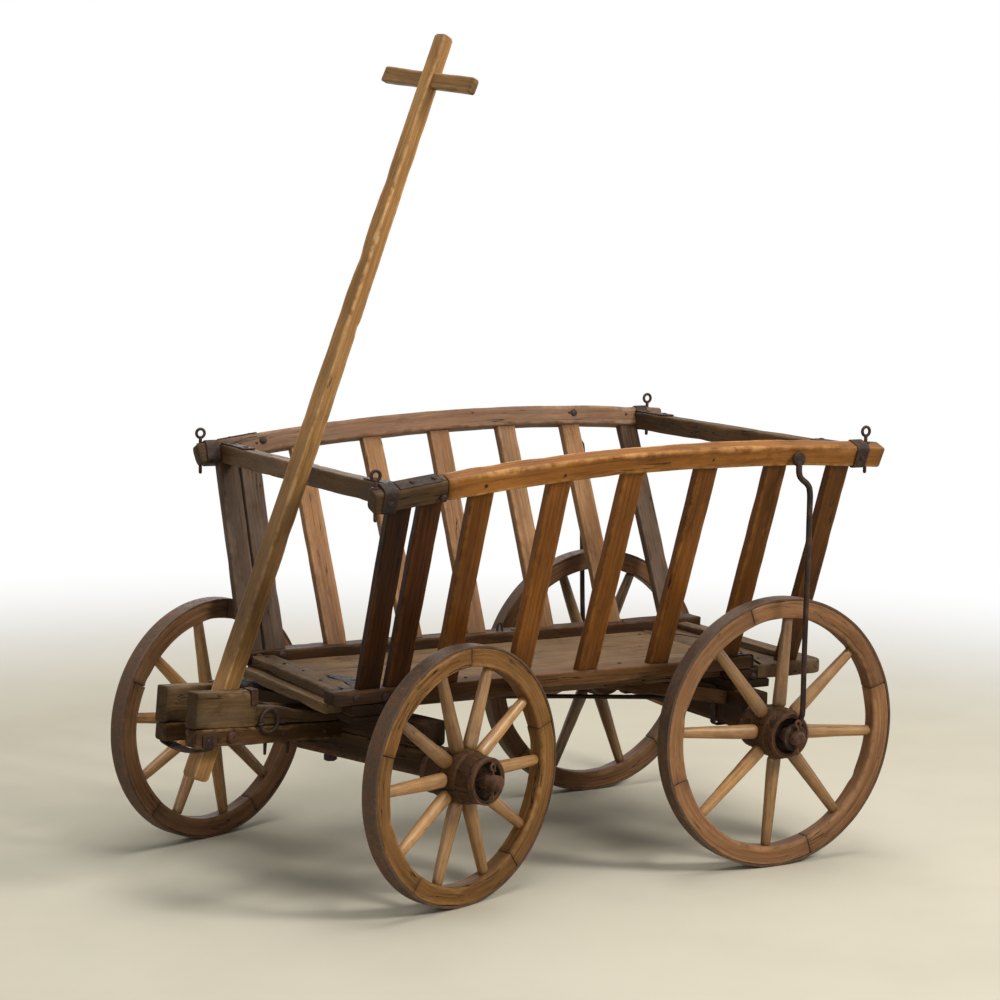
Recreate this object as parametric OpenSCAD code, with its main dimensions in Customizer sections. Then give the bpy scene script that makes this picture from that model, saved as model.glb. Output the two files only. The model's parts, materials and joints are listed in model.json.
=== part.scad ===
// Weathered wooden hand cart: a four-wheeled ladder wagon with a leaning drawbar.
// Millimetres. +Z is up, the cart's front is towards -X and its left side is towards -Y.
// Lengths along X are measured from the kingpin over the front axle; place() then moves
// the whole cart so that the origin is under the middle of its bounding box.

/* [Wheels] */
// Diameter of a front wheel over its tyre
front_wheel_d = 410; // [360:5:410]
// Diameter of a rear wheel over its tyre
rear_wheel_d = 450; // [400:5:500]
// Number of spokes in a front wheel
front_spokes = 10; // [8:2:12]
// Number of spokes in a rear wheel
rear_spokes = 8; // [8:2:12]
// Number of felloes in a front wheel
front_felloes = 5; // [4:1:6]
// Number of felloes in a rear wheel
rear_felloes = 4; // [4:1:6]
// Turn of the front left wheel as the cart is parked
front_left_turn = 17.5; // [0:0.5:72]
// Turn of the front right wheel as the cart is parked
front_right_turn = 62; // [0:0.5:72]
// Turn of the rear left wheel as the cart is parked
rear_left_turn = 18; // [0:0.5:90]
// Turn of the rear right wheel as the cart is parked
rear_right_turn = 47; // [0:0.5:90]
// Thickness of the iron tyre
tyre_t = 4; // [3:0.5:6]
// Width of the rim along the axle
rim_w = 30; // [24:1:36]
// Depth of the felloes
felloe_h = 30; // [24:1:36]
// Radius of the hub where the spokes stand
hub_r = 43; // [38:1:50]
// Radius of the hub at its ends
hub_end_r = 35; // [30:1:38]
// Radius of a spoke at the hub
spoke_root_r = 13; // [10:0.5:14]
// Radius of a spoke at the felloe
spoke_tip_r = 9; // [7:0.5:11]

/* [Axles] */
// Distance between the front and rear axles
wheelbase = 675; // [620:5:760]
// Distance from the middle of the cart to the middle of a rim
half_track = 293; // [286:1:320]
// Radius of an axle stub
stub_r = 13; // [10:0.5:15]
// Side of the square axle iron
axle_bar = 26; // [22:1:30]
// Width of an axle beam along the cart
beam_w = 50; // [44:1:60]
// Half length of an axle beam
beam_half = 232; // [220:1:236]
// Distance from the rim's middle to the hub's inner end
hub_in = 57; // [50:1:57]
// Distance from the rim's middle to a front hub's outer end
front_hub_out = 55; // [48:1:60]
// Distance from the rim's middle to a rear hub's outer end
rear_hub_out = 39; // [36:1:44]

/* [Bed] */
// Height of the floor's top above the ground
floor_top = 318; // [312:1:330]
// Thickness of the floor boards
floor_t = 24; // [18:1:26]
// Half width of the floor between the sills
floor_half = 160; // [140:1:160]
// Width of a sill
sill_w = 40; // [34:1:40]
// Height of a sill
sill_h = 24; // [20:1:28]
// Length of the rear cross plank along the cart
rear_plank_w = 140; // [110:1:150]

/* [Sides] */
// Distance from the middle of the cart to the middle of a top rail
rail_y = 332; // [320:1:345]
// Height of the top rail's middle at its front end
rail_front_z = 647; // [600:1:720]
// Height of the top rail's middle at its rear end
rail_rear_z = 684; // [640:1:760]
// Rise of the top rail's arch above its chord
rail_rise = 26; // [10:1:40]
// Height of the top rail's section
rail_h = 36; // [30:1:42]
// Thickness of the top rail's section
rail_t = 28; // [24:1:32]
// Lean of the sides outwards
flare = 22; // [20:0.5:23]
// Width of a stake along the cart
stake_w = 38; // [30:1:42]
// Thickness of a stake
stake_t = 16; // [12:1:18]

/* [Drawbar] */
// Length of the pole above its pivot
pole_len = 1170; // [1000:10:1300]
// Length of the pole's heel below its pivot
heel_len = 76; // [60:1:80]
// Depth of the pole at its pivot
pole_root = 32; // [28:1:36]
// Side of the pole at its top
pole_top = 23; // [20:1:28]
// Length of the crosspiece
crosspiece_len = 208; // [160:2:260]
// Lean of the pole backwards from upright as it is parked
pole_lean = 21.9; // [10:0.1:21.9]
// Turn of the front axle to the left as the cart is parked
steer_rest = 18.5; // [0:0.5:18.5]

/* [Hidden] */
$fn = 96;

// General clearances: a running fit, a seat of a fixed pin, and the slack for cutting tools
running = 0.3;
seat = 0.2;
over = 1;
LEFT = -1;
RIGHT = 1;

// Wheels and axles
front_r = front_wheel_d / 2;
rear_r = rear_wheel_d / 2;
felloe_gap = 1.2;
band_t = 2.5;
band_w = 11;
groove = 3;
pin_r = 2.5;
front_stub_end = half_track + front_hub_out + 25;
front_pin_y = half_track + front_hub_out + 8;
rear_stub_end = half_track + rear_hub_out + 29;
rear_pin_y = half_track + rear_hub_out + 20;
collar_r = stub_r + 6;

// Axle beams and bolsters, by height
bar_below = 9;
front_beam_z = front_r - axle_bar / 2 + bar_below;
rear_beam_z = rear_r - axle_bar / 2 + bar_below;
floor_z = floor_top - floor_t;
bolster_t = 15;
transom_gap = 3.3;
front_split_z = front_beam_z + 38;
front_bolster_top = floor_z - bolster_t + 1;
transom_z = front_bolster_top + transom_gap;
king_r = 7;
king_head_r = 12;
king_head_t = 4;
nut_r = 11;
nut_t = 12;

// Bed
sill_z = floor_top - 6;
sill_top = sill_z + sill_h;
sill_front = -92;
left_sill_rear = wheelbase + 15;
right_sill_rear = wheelbase + 153;
plank_rear_x = wheelbase + beam_w / 2;
plank_front = -88;
boards_front = -28;
strip_front = -71;
strip_t = 18;
rear_strip_x = wheelbase + 93;
rear_strip_w = 22;
rear_strip_t = 12;
board_count = 3;
board_gap = 1.2;
edge_gap = 0.5;
bolster_half = floor_half + sill_w;
transom_front = -60;
transom_rear = 28;
bolster_rear_x = plank_rear_x + 25;

// Stakes: where each crosses the rail and the sill, counted from the front
stake_top_x = [-50, 3, for (x = [87, 223, 357, 494]) 3 + x * (wheelbase - 46) / 629, wheelbase - 43, wheelbase + 82];
stake_foot_x = [-28, 20, for (x = [88, 221, 347, 485]) 20 + x * (wheelbase - 51) / 624, wheelbase - 31, wheelbase + 95];
stake_foot_y = floor_half + 26;
// The right side's first three stand otherwise: two of them close together.
right_top_x = [-46, -6, 90];
right_foot_x = [-60, -18, 96];
function top_x(side, i) = side > 0 && i < len(right_top_x) ? right_top_x[i] : stake_top_x[i];
function foot_x(side, i) = side > 0 && i < len(right_foot_x) ? right_foot_x[i] : stake_foot_x[i];

// Top rails
rail_front_x = -98;
rail_rear_x = wheelbase + 159;
rail_chord = norm([rail_rear_x - rail_front_x, rail_rear_z - rail_front_z]);
rail_radius = rail_chord * rail_chord / (8 * rail_rise) + rail_rise / 2;
rail_tilt = atan((rail_rear_z - rail_front_z) / (rail_rear_x - rail_front_x));
rail_half_angle = asin(rail_chord / 2 / rail_radius);
rail_mid_x = (rail_front_x + rail_rear_x) / 2;
rail_mid_z = (rail_front_z + rail_rear_z) / 2;

// Cross rails, their corner irons and eye pins
front_rail_x = -60;
front_rail_w = 26;
front_rail_h = 32;
rear_rail_x = rail_rear_x - 62;
rear_rail_w = 28;
rear_rail_h = 32;
iron_t = 3;
iron_w = 24;
iron_leg = 96;
front_band_x = front_rail_x - iron_w - 1;
rear_band_x = rear_rail_x + 5;
front_eye_x = front_band_x - 6;
rear_eye_x = rear_band_x + iron_w + 6;
eye_pin_r = 3;
eye_ring_r = 8;
eye_hole_r = 5;
eye_t = 6;

// Wheel stays
stay_r = 5;
stay_top_x = wheelbase - 15;
stay_low_x = wheelbase + 15;
stay_y = half_track + rear_hub_out + 11;
stay_out_y = rail_y + 22;
stay_ring_w = 8;

// Fork
slot_half = 21;
arm_w = 28;
arm_h = 29;
arm_slope = 0.095;
fork_front = -330;
arm_front_z = 257;
arm_rear = 60;
cheek_rear = -205;
cheek_h = 57;
tail_h = 32;
tail_end_t = 14;
pivot_x = -258;
pivot_z = arm_z(pivot_x) + arm_h / 2;
fork_bolt_r = 6;
fork_head_r = 10;
fork_head_t = 6;
strap_x = -318;
strap_w = 22;
strap_sag = 8;
strap_low_z = arm_z(strap_x + strap_w) - strap_sag;
strap_up = 24;
eye_x = -183;
eye_r = 18;
eye_wire_r = 3;

// Drawbar
pole_cant = 3;
pole_width = 30;
cross_at = 0.933;
cross_h = 27;
cross_t = 15;
cross_skew = 3.5;

// The kingpin stands this far in front of the middle of the cart's length
cart_front = fork_front * cos(steer_rest) - (slot_half + arm_w) * sin(steer_rest);
cart_rear = wheelbase + rear_r;
middle_x = (cart_front + cart_rear) / 2;

// Height of the fork arms' lower face, and of the top rail's middle, at a place along the cart
function arm_z(x) = arm_front_z - (x - fork_front) * arm_slope;
function rail_z(x) =
    let (
        cx = rail_mid_x + (rail_radius - rail_rise) * sin(rail_tilt),
        cz = rail_mid_z - (rail_radius - rail_rise) * cos(rail_tilt)
    )
    cz + sqrt(rail_radius * rail_radius - (x - cx) * (x - cx));

// Colours
module oak() { color([0.50, 0.33, 0.17]) children(); }
module dark_oak() { color([0.30, 0.21, 0.14]) children(); }
module grey_wood() { color([0.42, 0.36, 0.30]) children(); }
module ochre_wood() { color([0.60, 0.42, 0.22]) children(); }
module iron() { color([0.22, 0.20, 0.20]) children(); }
module rust() { color([0.32, 0.22, 0.18]) children(); }

// Places
module place() { translate([-middle_x, 0, 0]) children(); }
module steered() { place() rotate([0, 0, steer_rest]) children(); }
module on_pole() {
    steered() translate([pivot_x, 0, pivot_z]) rotate([pole_cant, pole_lean, 0]) children();
}

// A block between two corners
module block(a, b) { translate(a) cube([b[0] - a[0], b[1] - a[1], b[2] - a[2]]); }

// A block that lies across the cart, the same on both sides
module cross_block(x0, x1, half, z0, z1) { block([x0, -half, z0], [x1, half, z1]); }

// A profile drawn along the cart and up, drawn out across it from y0 to y1
module along_side(y0, y1) {
    translate([0, y1, 0]) rotate([90, 0, 0]) linear_extrude(y1 - y0) children();
}

// A round rod from one point to another, and one along a list of points
module rod(a, b, r) {
    v = b - a;
    translate(a) rotate([0, acos(v[2] / norm(v)), atan2(v[1], v[0])]) cylinder(r = r, h = norm(v));
}
module sided(side) {
    if (side > 0) children();
    else mirror([0, 1, 0]) children();
}
module bent_rod(points, r) {
    for (i = [0 : len(points) - 2]) rod(points[i], points[i + 1], r);
    for (i = [1 : len(points) - 2]) translate(points[i]) sphere(r = r * 1.05);
}

// ---------------------------------------------------------------- wheels
// A wheel lies flat with its outer side up; its rim's middle is at z = 0.

module hub(out) {
    drum = 19;
    difference() {
        rotate_extrude() polygon([
            [stub_r + running, -hub_in], [hub_end_r, -hub_in],
            [hub_end_r, -hub_in + band_w], [hub_end_r + band_t, -hub_in + band_w],
            [hub_r - groove, -drum - groove], [hub_r, -drum],
            [hub_r, drum], [hub_r - groove, drum + groove],
            [hub_end_r + band_t, out - band_w], [hub_end_r, out - band_w],
            [hub_end_r, out], [stub_r + running, out]
        ]);
    }
}

module hub_bands(out) {
    for (z = [-hub_in, out - band_w]) translate([0, 0, z]) difference() {
        cylinder(r = hub_end_r + band_t, h = band_w);
        translate([0, 0, -over]) cylinder(r = hub_end_r, h = band_w + 2 * over);
    }
}

module spokes(count, inner_r) {
    intersection() {
        difference() {
            for (i = [0 : count - 1]) rotate([0, 0, (i + 0.5) * 360 / count]) rotate([0, 90, 0])
                translate([0, 0, hub_end_r]) cylinder(r1 = spoke_root_r, r2 = spoke_tip_r, h = inner_r - hub_end_r + over);
            cylinder(r = hub_r, h = 4 * spoke_root_r, center = true);
        }
        cylinder(r = inner_r, h = 4 * spoke_root_r, center = true);
    }
}

module felloes(count, wheel_r) {
    outer = wheel_r - tyre_t;
    difference() {
        cylinder(r = outer, h = rim_w, center = true);
        cylinder(r = outer - felloe_h, h = rim_w + 2 * over, center = true);
        for (i = [0 : count - 1]) rotate([0, 0, i * 360 / count])
            translate([0, -felloe_gap / 2, -rim_w]) cube([wheel_r, felloe_gap, 2 * rim_w]);
    }
}

module tyre(wheel_r) {
    difference() {
        cylinder(r = wheel_r, h = rim_w, center = true);
        cylinder(r = wheel_r - tyre_t, h = rim_w + 2 * over, center = true);
    }
}

module at_front_wheel(side) {
    steered() translate([0, side * half_track, front_r]) rotate([-side * 90, 0, 0])
        rotate([0, 0, side > 0 ? front_right_turn : front_left_turn]) children();
}
module at_rear_wheel(side) {
    place() translate([wheelbase, side * half_track, rear_r]) rotate([-side * 90, 0, 0])
        rotate([0, 0, side > 0 ? rear_right_turn : rear_left_turn]) children();
}

module front_hub(side) { dark_oak() at_front_wheel(side) hub(front_hub_out); }
module front_hub_bands(side) { iron() at_front_wheel(side) hub_bands(front_hub_out); }
module front_spoke_set(side) { ochre_wood() at_front_wheel(side) spokes(front_spokes, front_r - tyre_t - felloe_h); }
module front_felloe_ring(side) { ochre_wood() at_front_wheel(side) felloes(front_felloes, front_r); }
module front_tyre(side) { rust() at_front_wheel(side) tyre(front_r); }
module rear_hub(side) { dark_oak() at_rear_wheel(side) hub(rear_hub_out); }
module rear_hub_bands(side) { iron() at_rear_wheel(side) hub_bands(rear_hub_out); }
module rear_spoke_set(side) { oak() at_rear_wheel(side) spokes(rear_spokes, rear_r - tyre_t - felloe_h); }
module rear_felloe_ring(side) { oak() at_rear_wheel(side) felloes(rear_felloes, rear_r); }
module rear_tyre(side) { rust() at_rear_wheel(side) tyre(rear_r); }

// ---------------------------------------------------------------- axles
// The square axle iron is let into the beam from below; round stubs stand out at its ends.

module axle_bar_at(x, z, slack = 0) {
    cross_block(x - axle_bar / 2 - slack, x + axle_bar / 2 + slack, beam_half, z - axle_bar / 2, z + axle_bar / 2 + slack);
}

module stub(side, x, z, end, pin_y) {
    tip = 5;
    difference() {
        translate([x, side * beam_half, z]) rotate([-side * 90, 0, 0]) union() {
            cylinder(r = collar_r, h = half_track - hub_in - beam_half - 2 * running);
            cylinder(r = stub_r, h = end - tip - beam_half);
            translate([0, 0, end - tip - beam_half]) cylinder(r1 = stub_r, r2 = stub_r - tip, h = tip);
        }
        translate([x, side * pin_y, z]) cylinder(r = pin_r + seat, h = 4 * stub_r, center = true);
    }
}

module axle_iron(x, z, end, pin_y) {
    axle_bar_at(x, z);
    for (side = [LEFT, RIGHT]) stub(side, x, z, end, pin_y);
}

module linchpins(x, z, pin_y) {
    up = 14;
    down = 16;
    for (side = [LEFT, RIGHT]) translate([x, side * pin_y, z]) {
        translate([0, 0, -stub_r - down]) cylinder(r = pin_r, h = 2 * stub_r + up + down);
        translate([0, 0, stub_r + up]) sphere(r = pin_r * 1.8);
    }
}

module front_axle_iron() {
    iron() steered() difference() {
        axle_iron(0, front_r, front_stub_end, front_pin_y);
        cylinder(r = king_r + running, h = 2 * front_r);
    }
}
module rear_axle_iron() { iron() place() axle_iron(wheelbase, rear_r, rear_stub_end, rear_pin_y); }
module front_linchpins() { iron() steered() linchpins(0, front_r, front_pin_y); }
module rear_linchpins() { iron() place() linchpins(wheelbase, rear_r, rear_pin_y); }

module front_axle_beam() {
    oak() steered() difference() {
        cross_block(-beam_w / 2, beam_w / 2, beam_half, front_beam_z, front_split_z);
        axle_bar_at(0, front_r);
        for (side = [LEFT, RIGHT]) arm_shape(side);
        cylinder(r = king_r + running, h = 2 * floor_top);
    }
}

module front_bolster() {
    dark_oak() steered() difference() {
        cross_block(-beam_w / 2, beam_w / 2, beam_half, front_split_z, front_bolster_top);
        for (side = [LEFT, RIGHT]) arm_shape(side);
        cylinder(r = king_r + running, h = 2 * floor_top);
    }
}

module rear_axle_beam() {
    dark_oak() place() difference() {
        cross_block(wheelbase - beam_w / 2, wheelbase + beam_w / 2, beam_half, rear_beam_z, floor_z - bolster_t);
        axle_bar_at(wheelbase, rear_r);
    }
}

clip_y = 146;
clip_w = 14;
clip_low = rear_r - axle_bar / 2;

module clip_blocks(slack) {
    for (side = [LEFT, RIGHT]) translate([0, side * clip_y - clip_w / 2, 0])
        block([wheelbase - beam_w / 2 - iron_t, -slack, clip_low - iron_t],
            [wheelbase + beam_w / 2 + iron_t, clip_w + slack, floor_z - bolster_t]);
}

module rear_axle_clips() {
    iron() place() difference() {
        clip_blocks(0);
        cross_block(wheelbase - beam_w / 2, wheelbase + beam_w / 2, beam_half, clip_low, floor_z);
    }
}

// ---------------------------------------------------------------- bed

module stake_slats(side) {
    reach = 420;
    below = 60;
    for (i = [0 : len(stake_top_x) - 1]) {
        foot = foot_x(side, i);
        top = top_x(side, i);
        rise = rail_z(top) - sill_top;
        out = atan((rail_y - stake_foot_y) / rise);
        lean = atan((top - foot) * cos(out) / rise);
        translate([foot, side * stake_foot_y, sill_top])
            rotate([-side * out, 0, 0]) rotate([0, lean, 0])
                translate([-stake_w / 2, -stake_t / 2, -below]) cube([stake_w, stake_t, reach + below]);
    }
}

module top_rail_arc(side, low, high, half_t, from = -1, to = 1) {
    translate([rail_mid_x, side * rail_y, rail_mid_z]) rotate([0, -rail_tilt, 0])
        translate([0, 0, rail_rise - rail_radius]) rotate([90, 0, 0])
            rotate([0, 0, 90 - to * rail_half_angle])
                rotate_extrude(angle = (to - from) * rail_half_angle, $fn = 720)
                    translate([rail_radius, 0]) rotate(-side * flare)
                        translate([-low, -half_t]) square([low + high, 2 * half_t]);
}

module band_outline(side, x, slack = 0) {
    from = (x - slack - rail_mid_x) / (rail_chord / 2);
    to = (x + slack + iron_w - rail_mid_x) / (rail_chord / 2);
    t = iron_t + slack;
    top_rail_arc(side, rail_h / 2 + t, rail_h / 2 + t, rail_t / 2 + t, from, to);
}

module top_rail(side) {
    oak() place() difference() {
        top_rail_arc(side, rail_h / 2, rail_h / 2, rail_t / 2);
        for (x = [front_eye_x, rear_eye_x]) translate([x, side * rail_y, 0])
            cylinder(r = eye_pin_r + seat, h = 2 * rail_rear_z);
    }
}

// A stake ends on the lower face of the top rail; the last one goes through the rear cross plank.
module stakes(side) {
    oak() place() difference() {
        stake_slats(side);
        top_rail_arc(side, rail_h / 2, 5 * rail_h, 4 * rail_t);
        for (x = [front_band_x, rear_band_x]) band_outline(side, x, running);
        cross_block(sill_front - 100, plank_rear_x, 2 * rail_y, 0, sill_z);
        cross_block(plank_rear_x - over, right_sill_rear + 100, 2 * rail_y, 0, floor_z);
    }
}

module sill(side, rear) {
    corner = 14;
    dark_oak() place() difference() {
        translate([0, 0, sill_z]) linear_extrude(sill_h) difference() {
            translate([sill_front, side > 0 ? floor_half : -floor_half - sill_w])
                square([rear - sill_front, sill_w]);
            translate([rear - corner, side * (floor_half + sill_w - corner)]) difference() {
                translate([0, side > 0 ? 0 : -corner - over]) square([corner + over, corner + over]);
                circle(r = corner);
            }
        }
        stake_slats(side);
        cross_block(plank_rear_x, rear + over, 2 * floor_half, 0, floor_top);
    }
}

module floor_boards() {
    width = 2 * (floor_half - edge_gap);
    board = (width - (board_count - 1) * board_gap) / board_count;
    ochre_wood() place() difference() {
        for (i = [0 : board_count - 1]) {
            y = -width / 2 + i * (board + board_gap);
            block([boards_front, y, floor_z], [plank_rear_x, y + board, floor_top]);
        }
        cylinder(r = king_r + seat, h = 2 * floor_top);
        translate([0, 0, floor_top - king_head_t]) cylinder(r = king_head_r + seat, h = floor_top);
    }
}

module front_cross_plank() {
    grey_wood() place() cross_block(plank_front, boards_front, floor_half - edge_gap, floor_z, sill_z);
}

module floor_strips() {
    grey_wood() place() {
        cross_block(strip_front, boards_front, floor_half - edge_gap, sill_z, sill_z + strip_t);
        cross_block(rear_strip_x, rear_strip_x + rear_strip_w, floor_half - 6, floor_top, floor_top + rear_strip_t);
    }
}

module rear_cross_plank() {
    corner = 24;
    x1 = plank_rear_x + rear_plank_w;
    grey_wood() place() difference() {
        translate([0, 0, floor_z]) linear_extrude(floor_t) difference() {
            translate([plank_rear_x, -bolster_half]) square([rear_plank_w, 2 * bolster_half]);
            for (side = [LEFT, RIGHT]) translate([x1 - corner, side * (bolster_half - corner)]) difference() {
                translate([0, side > 0 ? 0 : -corner - over]) square([corner + over, corner + over]);
                circle(r = corner);
            }
        }
        for (side = [LEFT, RIGHT]) stake_slats(side);
    }
}

// The bolsters carry the floor, and their raised ends carry the sills.
module raised_ends(x0, x1) {
    for (side = [LEFT, RIGHT]) {
        y = side * (floor_half + sill_w / 2);
        block([x0, y - sill_w / 2, floor_z - over], [x1, y + sill_w / 2, sill_z]);
    }
}

module front_transom() {
    dark_oak() place() difference() {
        union() {
            cross_block(transom_front, transom_rear, bolster_half, transom_z, floor_z);
            raised_ends(transom_front, transom_rear);
        }
        cylinder(r = king_r + seat, h = 2 * floor_top);
    }
}

module rear_bolster() {
    dark_oak() place() {
        cross_block(wheelbase - beam_w / 2, bolster_rear_x, bolster_half, floor_z - bolster_t, floor_z);
        raised_ends(wheelbase - beam_w / 2, plank_rear_x);
    }
}

module kingpin() {
    low = front_r - axle_bar / 2 - running - nut_t;
    iron() place() {
        translate([0, 0, low]) cylinder(r = king_r, h = floor_top - low);
        translate([0, 0, low]) cylinder(r = nut_r, h = nut_t, $fn = 6);
        translate([0, 0, floor_top - king_head_t]) cylinder(r = king_head_r, h = king_head_t);
    }
}

module floor_plate() {
    plate_y = -52;
    plate_r = 78;
    iron() place() intersection() {
        translate([boards_front - 20, plate_y, floor_top]) cylinder(r = plate_r, h = iron_t);
        block([boards_front, -floor_half, 0], [boards_front + plate_r, floor_half, 2 * floor_top]);
    }
}

module tie_rod() {
    iron() place() difference() {
        rod([transom_rear - 5, 0, (transom_z + floor_z) / 2 - 1.5], [wheelbase - beam_w / 2 + 5, 0, rear_beam_z + 8], 4);
        cross_block(transom_front, transom_rear, 20, 0, floor_top);
        cross_block(wheelbase - beam_w / 2, wheelbase, 20, 0, floor_top);
    }
}

module rear_hounds() {
    back = wheelbase - beam_w / 2;
    length = 230;
    dark_oak() place() for (side = [LEFT, RIGHT]) difference() {
        translate([back, side * 176, floor_z - bolster_t - 16])
            rotate([0, 0, side * 29]) rotate([0, 6.5, 0]) translate([-length, -12, -12]) cube([length + 40, 24, 24]);
        cross_block(back, wheelbase + 100, 2 * floor_half, 0, floor_top);
        cross_block(-100, back, 2 * floor_half, floor_z, floor_top + 100);
        clip_blocks(0);
    }
}

// ---------------------------------------------------------------- cross rails and irons

// The inner face of a side's top rail at a place along the cart and a height
function rail_inner(x, z) = rail_y - rail_t / 2 / cos(flare) + (z - rail_z(x)) * tan(flare);

module cross_rail(x, w, h, gap) {
    z1 = rail_z(x + w / 2) + 12;
    z0 = z1 - h;
    low = min(rail_inner(x, z0), rail_inner(x + w, z0)) - gap;
    high = min(rail_inner(x, z1), rail_inner(x + w, z1)) - gap;
    translate([x, 0, 0]) rotate([90, 0, 90]) linear_extrude(w)
        polygon([[-low, z0], [low, z0], [high, z1], [-high, z1]]);
}

module front_cross_rail() { grey_wood() place() cross_rail(front_rail_x, front_rail_w, front_rail_h, running); }
module rear_cross_rail() { oak() place() cross_rail(rear_rail_x, rear_rail_w, rear_rail_h, iron_t / cos(flare) + running); }

// A flat iron band round the rail's stub, with a leg nailed along the top of the cross rail
module corner_iron(side, band_x, rail_x, w) {
    mid = rail_x + w / 2;
    z = rail_z(mid) + 12;
    inset = 3;
    edge = rail_inner(mid, z) - 1.2;
    difference() {
        band_outline(side, band_x);
        top_rail_arc(side, rail_h / 2, rail_h / 2, rail_t / 2);
    }
    translate([0, 0, z]) linear_extrude(iron_t) scale([1, side]) {
        translate([min(band_x, rail_x) + 1, edge - 20]) square([max(band_x + iron_w, rail_x + w) - min(band_x, rail_x) - inset - 1, 20]);
        translate([rail_x + inset, edge - iron_leg]) square([w - 2 * inset, iron_leg]);
    }
}

module corner_irons() {
    iron() place() for (side = [LEFT, RIGHT]) {
        corner_iron(side, front_band_x, front_rail_x, front_rail_w);
        corner_iron(side, rear_band_x, rear_rail_x, rear_rail_w);
    }
}

module eye_pin(x, side) {
    above = 12;
    below = 14;
    top = rail_z(x) + rail_h / 2 + above;
    translate([x, side * rail_y, 0]) {
        translate([0, 0, rail_z(x) - rail_h / 2 - below]) cylinder(r = eye_pin_r, h = rail_h + above + below - 1);
        translate([0, 0, top + eye_ring_r - 1]) rotate([90, 0, 0]) difference() {
            cylinder(r = eye_ring_r + 2, h = eye_t, center = true);
            cylinder(r = eye_hole_r, h = eye_t + 2 * over, center = true);
        }
    }
}

module eye_pins() {
    iron() place() for (side = [LEFT, RIGHT]) for (x = [front_eye_x, rear_eye_x]) eye_pin(x, side);
}

// A rod from the top rail's outer face down to a ring round the axle stub, outside the hub
module wheel_stay(side) {
    ring_top = rear_r + stub_r + 12;
    top_z = rail_z(stay_top_x) - 12;
    face_y = rail_y + rail_t / 2 / cos(flare) - 12 * tan(flare);
    sided(side) {
        difference() {
            bent_rod([
                [stay_top_x, face_y - stay_r, top_z], [stay_top_x, stay_out_y, top_z],
                [stay_top_x + 2, stay_out_y, top_z - 26], [stay_low_x - 4, stay_out_y, top_z - 48],
                [stay_low_x, stay_out_y, top_z - 90], [stay_low_x + 2, stay_y + 3, ring_top + 20],
                [wheelbase + 8, stay_y, ring_top - 7]
            ], stay_r);
            top_rail_arc(RIGHT, rail_h, rail_h, rail_t / 2 + seat);
        }
        translate([wheelbase, stay_y - stay_ring_w / 2, rear_r]) rotate([-90, 0, 0]) difference() {
            cylinder(r = stub_r + 9, h = stay_ring_w);
            translate([0, 0, -over]) cylinder(r = stub_r + seat, h = stay_ring_w + 2 * over);
        }
    }
}

module wheel_stays() { iron() place() for (side = [LEFT, RIGHT]) wheel_stay(side); }

// ---------------------------------------------------------------- fork

module arm_shape(side) {
    y0 = side > 0 ? slot_half : -slot_half - arm_w;
    along_side(y0, y0 + arm_w) polygon([
        [fork_front, arm_z(fork_front)], [arm_rear, arm_z(arm_rear)],
        [arm_rear, arm_z(arm_rear) + arm_h], [fork_front, arm_z(fork_front) + arm_h]
    ]);
}

module fork_bolt_hole(r) {
    translate([pivot_x, 0, pivot_z]) rotate([90, 0, 0]) cylinder(r = r, h = 4 * (slot_half + arm_w), center = true);
}

module fork_arm(side) {
    oak() steered() difference() {
        arm_shape(side);
        fork_bolt_hole(fork_bolt_r + seat);
    }
}

// A cheek stands on its arm beside the pole, and its tail runs back to the bolster.
module cheek(side) {
    y0 = side > 0 ? slot_half : -slot_half - arm_w;
    back = -beam_w / 2;
    bend = -110;
    grey_wood() steered() along_side(y0, y0 + arm_w) polygon([
        [fork_front, arm_z(fork_front) + arm_h], [cheek_rear, arm_z(cheek_rear) + arm_h],
        [back, arm_z(back) + arm_h + 1], [back, arm_z(back) + arm_h + tail_end_t],
        [bend, arm_z(bend) + arm_h + tail_end_t + 6], [cheek_rear, arm_z(cheek_rear) + arm_h + tail_h],
        [cheek_rear, arm_z(cheek_rear) + arm_h + cheek_h], [fork_front, arm_z(fork_front) + arm_h + cheek_h]
    ]);
}

// A flat strap under both arms; it sags between them and turns up their outer faces.
module fork_strap() {
    half = slot_half + arm_w;
    steps = 12;
    function sag(y) = strap_low_z + strap_sag * y * y / (half * half);
    iron() steered() translate([strap_x, 0, 0]) rotate([90, 0, 90]) linear_extrude(strap_w) polygon(concat(
        [for (i = [-steps : steps]) [half * i / steps, sag(half * i / steps)]],
        [[half, sag(half) + strap_up], [half + iron_t, sag(half) + strap_up], [half + iron_t, sag(half) - iron_t]],
        [for (i = [-steps + 1 : steps - 1]) [-half * i / steps, sag(half * i / steps) - iron_t]],
        [[-half - iron_t, sag(half) - iron_t], [-half - iron_t, sag(half) + strap_up], [-half, sag(half) + strap_up]]
    ));
}

module fork_bolt() {
    half = slot_half + arm_w;
    iron() steered() translate([pivot_x, 0, pivot_z]) rotate([90, 0, 0]) {
        cylinder(r = fork_bolt_r, h = 2 * half, center = true);
        translate([0, 0, half]) cylinder(r1 = fork_head_r, r2 = fork_head_r - 3, h = fork_head_t);
        translate([0, 0, -half - fork_head_t]) cylinder(r = fork_head_r, h = fork_head_t, $fn = 6);
    }
}

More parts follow.
